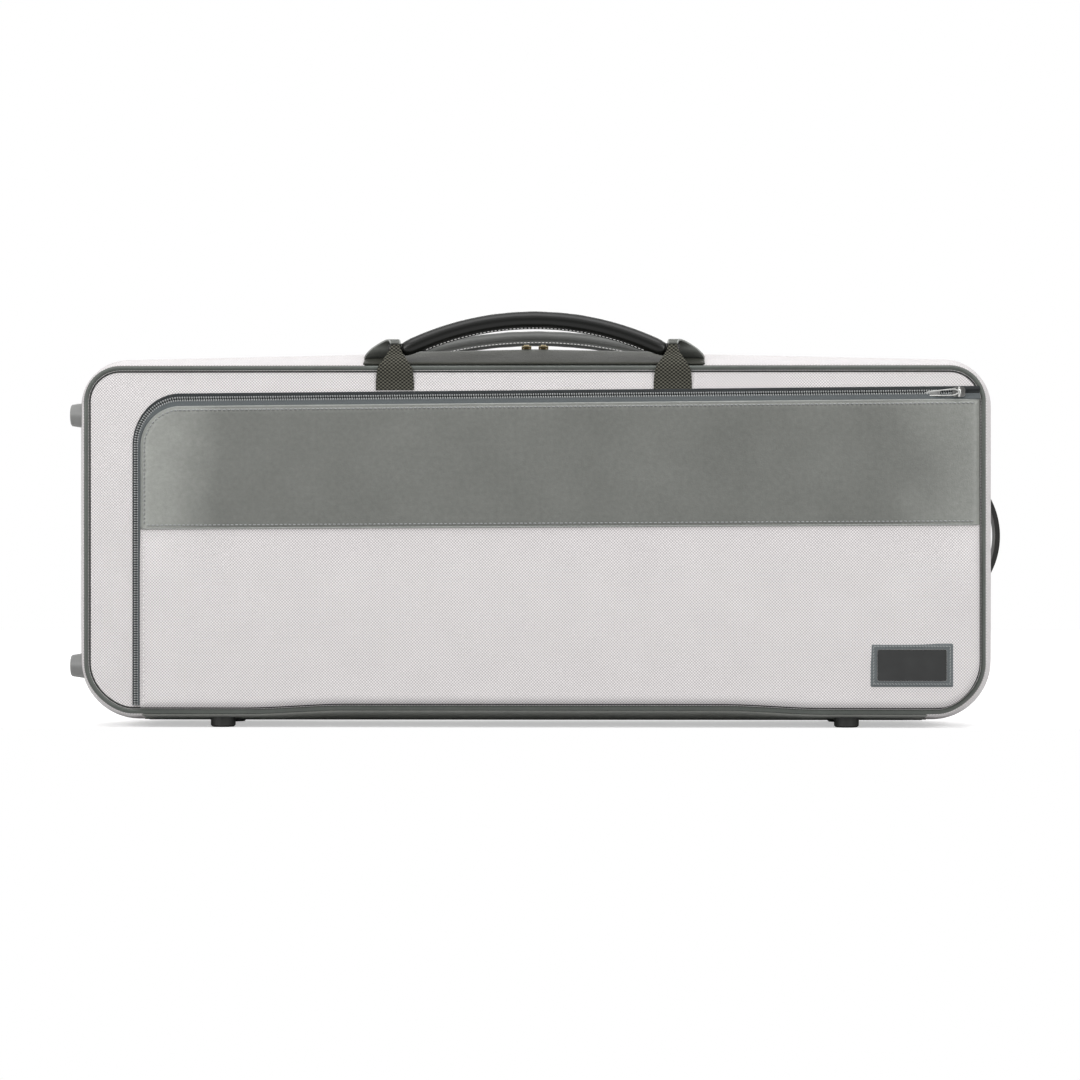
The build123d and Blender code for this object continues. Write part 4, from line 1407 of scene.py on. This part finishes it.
def neck_tie():
    """The strap over the neck, bowed clear of it."""
    low, high = box_corners("neck_strap")
    x = (low[0] + high[0]) / 2
    stations = []
    for z in spread(low[2], high[2], 2.5):
        bow = 4.0 * math.sin(math.pi * (z - low[2]) / (high[2] - low[2])) ** 2
        stations.append((Vector((x, high[1] - 0.9 - bow, z)), Vector((1, 0, 0)), forward, high[0] - low[0]))
    strap = ribbon("neck_tie", stations, 1.5, 7, 0.2)
    dress(strap, "case_body", "webbing", "webbing", "neck_strap")


soft_copy("bed_pad", ("viola_bed", "bed_upper_block", "bed_neck_block"), 4.0, 5, "case_body")
soft_copy("bed_floor", ("bed_base",), 4.0, 4, "case_body")
soft_copy("neck_cushion", ("neck_rest",), 2.2, 8, "case_body")
soft_copy("bow_sleeves", ("bow_tip_sleeves",), 1.4, 4, "lid")
recess_cord()
lid_pad()
neck_tie()

fittings = {
    "foot_rubber": ("body_feet", "lid_feet"),
    "stud_plastic": ("body_end_studs", "lid_end_studs"),
    "side_handle_plastic": ("side_handle", "side_handle_caps"),
    "brass": ("left_slider", "right_slider", "left_pull", "right_pull"),
    "silver": ("pocket_slider",),
    "plate_gloss": ("label_plate",),
    "lining_velvet": ("lid_shell", "body_shell"),
    "box_velvet": ("utility_box", "utility_lid"),
    "button_wood": ("turn_button_posts", "turn_button_lower", "turn_button_upper"),
}
for finish, fitted in fittings.items():
    for node in fitted:
        obj = nodes[node]
        obj.data.materials.clear()
        obj.data.materials.append(paint[finish])
        if finish not in ("lining_velvet", "box_velvet"):
            soften(obj, 0.35)


# Floor, light and camera

ambient = 0.55
floor_glow = 0.45


def world():
    """White to the camera, even grey to matt surfaces, and a studio with a dark end to gloss and glass."""
    sky = bpy.data.worlds.new("studio")
    bpy.context.scene.world = sky
    sky.use_nodes = True
    tree = sky.node_tree
    background = tree.nodes["Background"]
    split = split_xyz(tree, add(tree, "ShaderNodeTexCoord").outputs["Generated"])
    behind = math_node(tree, "MULTIPLY", split[1], -1.0)
    studio = ramp(tree, behind, (0.0, grey(1.0)), (0.86, grey(0.9)), (0.985, grey(0.16)))
    path = add(tree, "ShaderNodeLightPath")
    mirrored = math_node(tree, "MAXIMUM", path.outputs["Is Glossy Ray"], path.outputs["Is Transmission Ray"])
    colour = mix(tree, mirrored, grey(ambient), studio)
    colour = mix(tree, path.outputs["Is Camera Ray"], colour, grey(1.0))
    tree.links.new(colour, background.inputs[0])


def floor():
    """A pale table top whose front edge is close to the case, so that the opened lid hangs clear."""
    front_y = -0.060
    reach = 3.0
    corners = [(-reach, front_y, 0), (reach, front_y, 0), (reach, reach, 0), (-reach, reach, 0)]
    mesh = bpy.data.meshes.new("table")
    mesh.from_pydata(corners, [], [(0, 1, 2, 3)])
    obj = new_object("table", mesh)
    material, tree, shader = new_material("table")
    seen = add(tree, "ShaderNodeLightPath").outputs["Is Camera Ray"]
    glow = math_node(tree, "MULTIPLY", seen, floor_glow)
    wire(tree, shader, Base_Color=(*grey(0.85), 1), Roughness=0.8)
    wire(tree, shader, Emission_Strength=glow, Emission_Color=(*grey(1.0), 1))
    obj.data.materials.append(material)


def area_light(name, place, aim, size, power):
    light = bpy.data.lights.new(name, "AREA")
    light.shape = "RECTANGLE"
    light.size, light.size_y = size
    light.energy = power
    obj = new_object(name, light)
    obj.location = place
    obj.rotation_euler = (Vector(aim) - Vector(place)).to_track_quat("-Z", "Y").to_euler()


def camera():
    """The photograph's view: nearly level, long lens, a little to the right."""
    distance = 2.9
    picture_width = 0.9666
    azimuth = math.radians(1.0)
    aim = Vector((0.0045, split_y * MM, 0.1654))
    place = aim + Vector((math.sin(azimuth) * distance, -math.cos(azimuth) * distance, 0.0))
    lens = bpy.data.cameras.new("camera")
    lens.sensor_width = 36.0
    lens.lens = lens.sensor_width * distance / picture_width
    lens.clip_end = 50.0
    obj = new_object("camera", lens)
    obj.location = place
    obj.rotation_euler = (aim - place).to_track_quat("-Z", "Y").to_euler()
    bpy.context.scene.camera = obj


world()
floor()
area_light("top", (0.0, -0.7, 2.0), (0, 0, 0.2), (2.4, 1.2), 24.0)
area_light("left", (-1.75, -2.0, 0.9), (0, 0, 0.15), (0.8, 1.6), 20.0)
area_light("right", (1.9, -1.95, 0.9), (0, 0, 0.15), (0.8, 1.6), 20.0)
area_light("back", (0.0, 2.4, 1.4), (0, 0, 0.2), (2.0, 1.2), 22.0)
camera()

bpy.context.scene.view_settings.view_transform = "Standard"
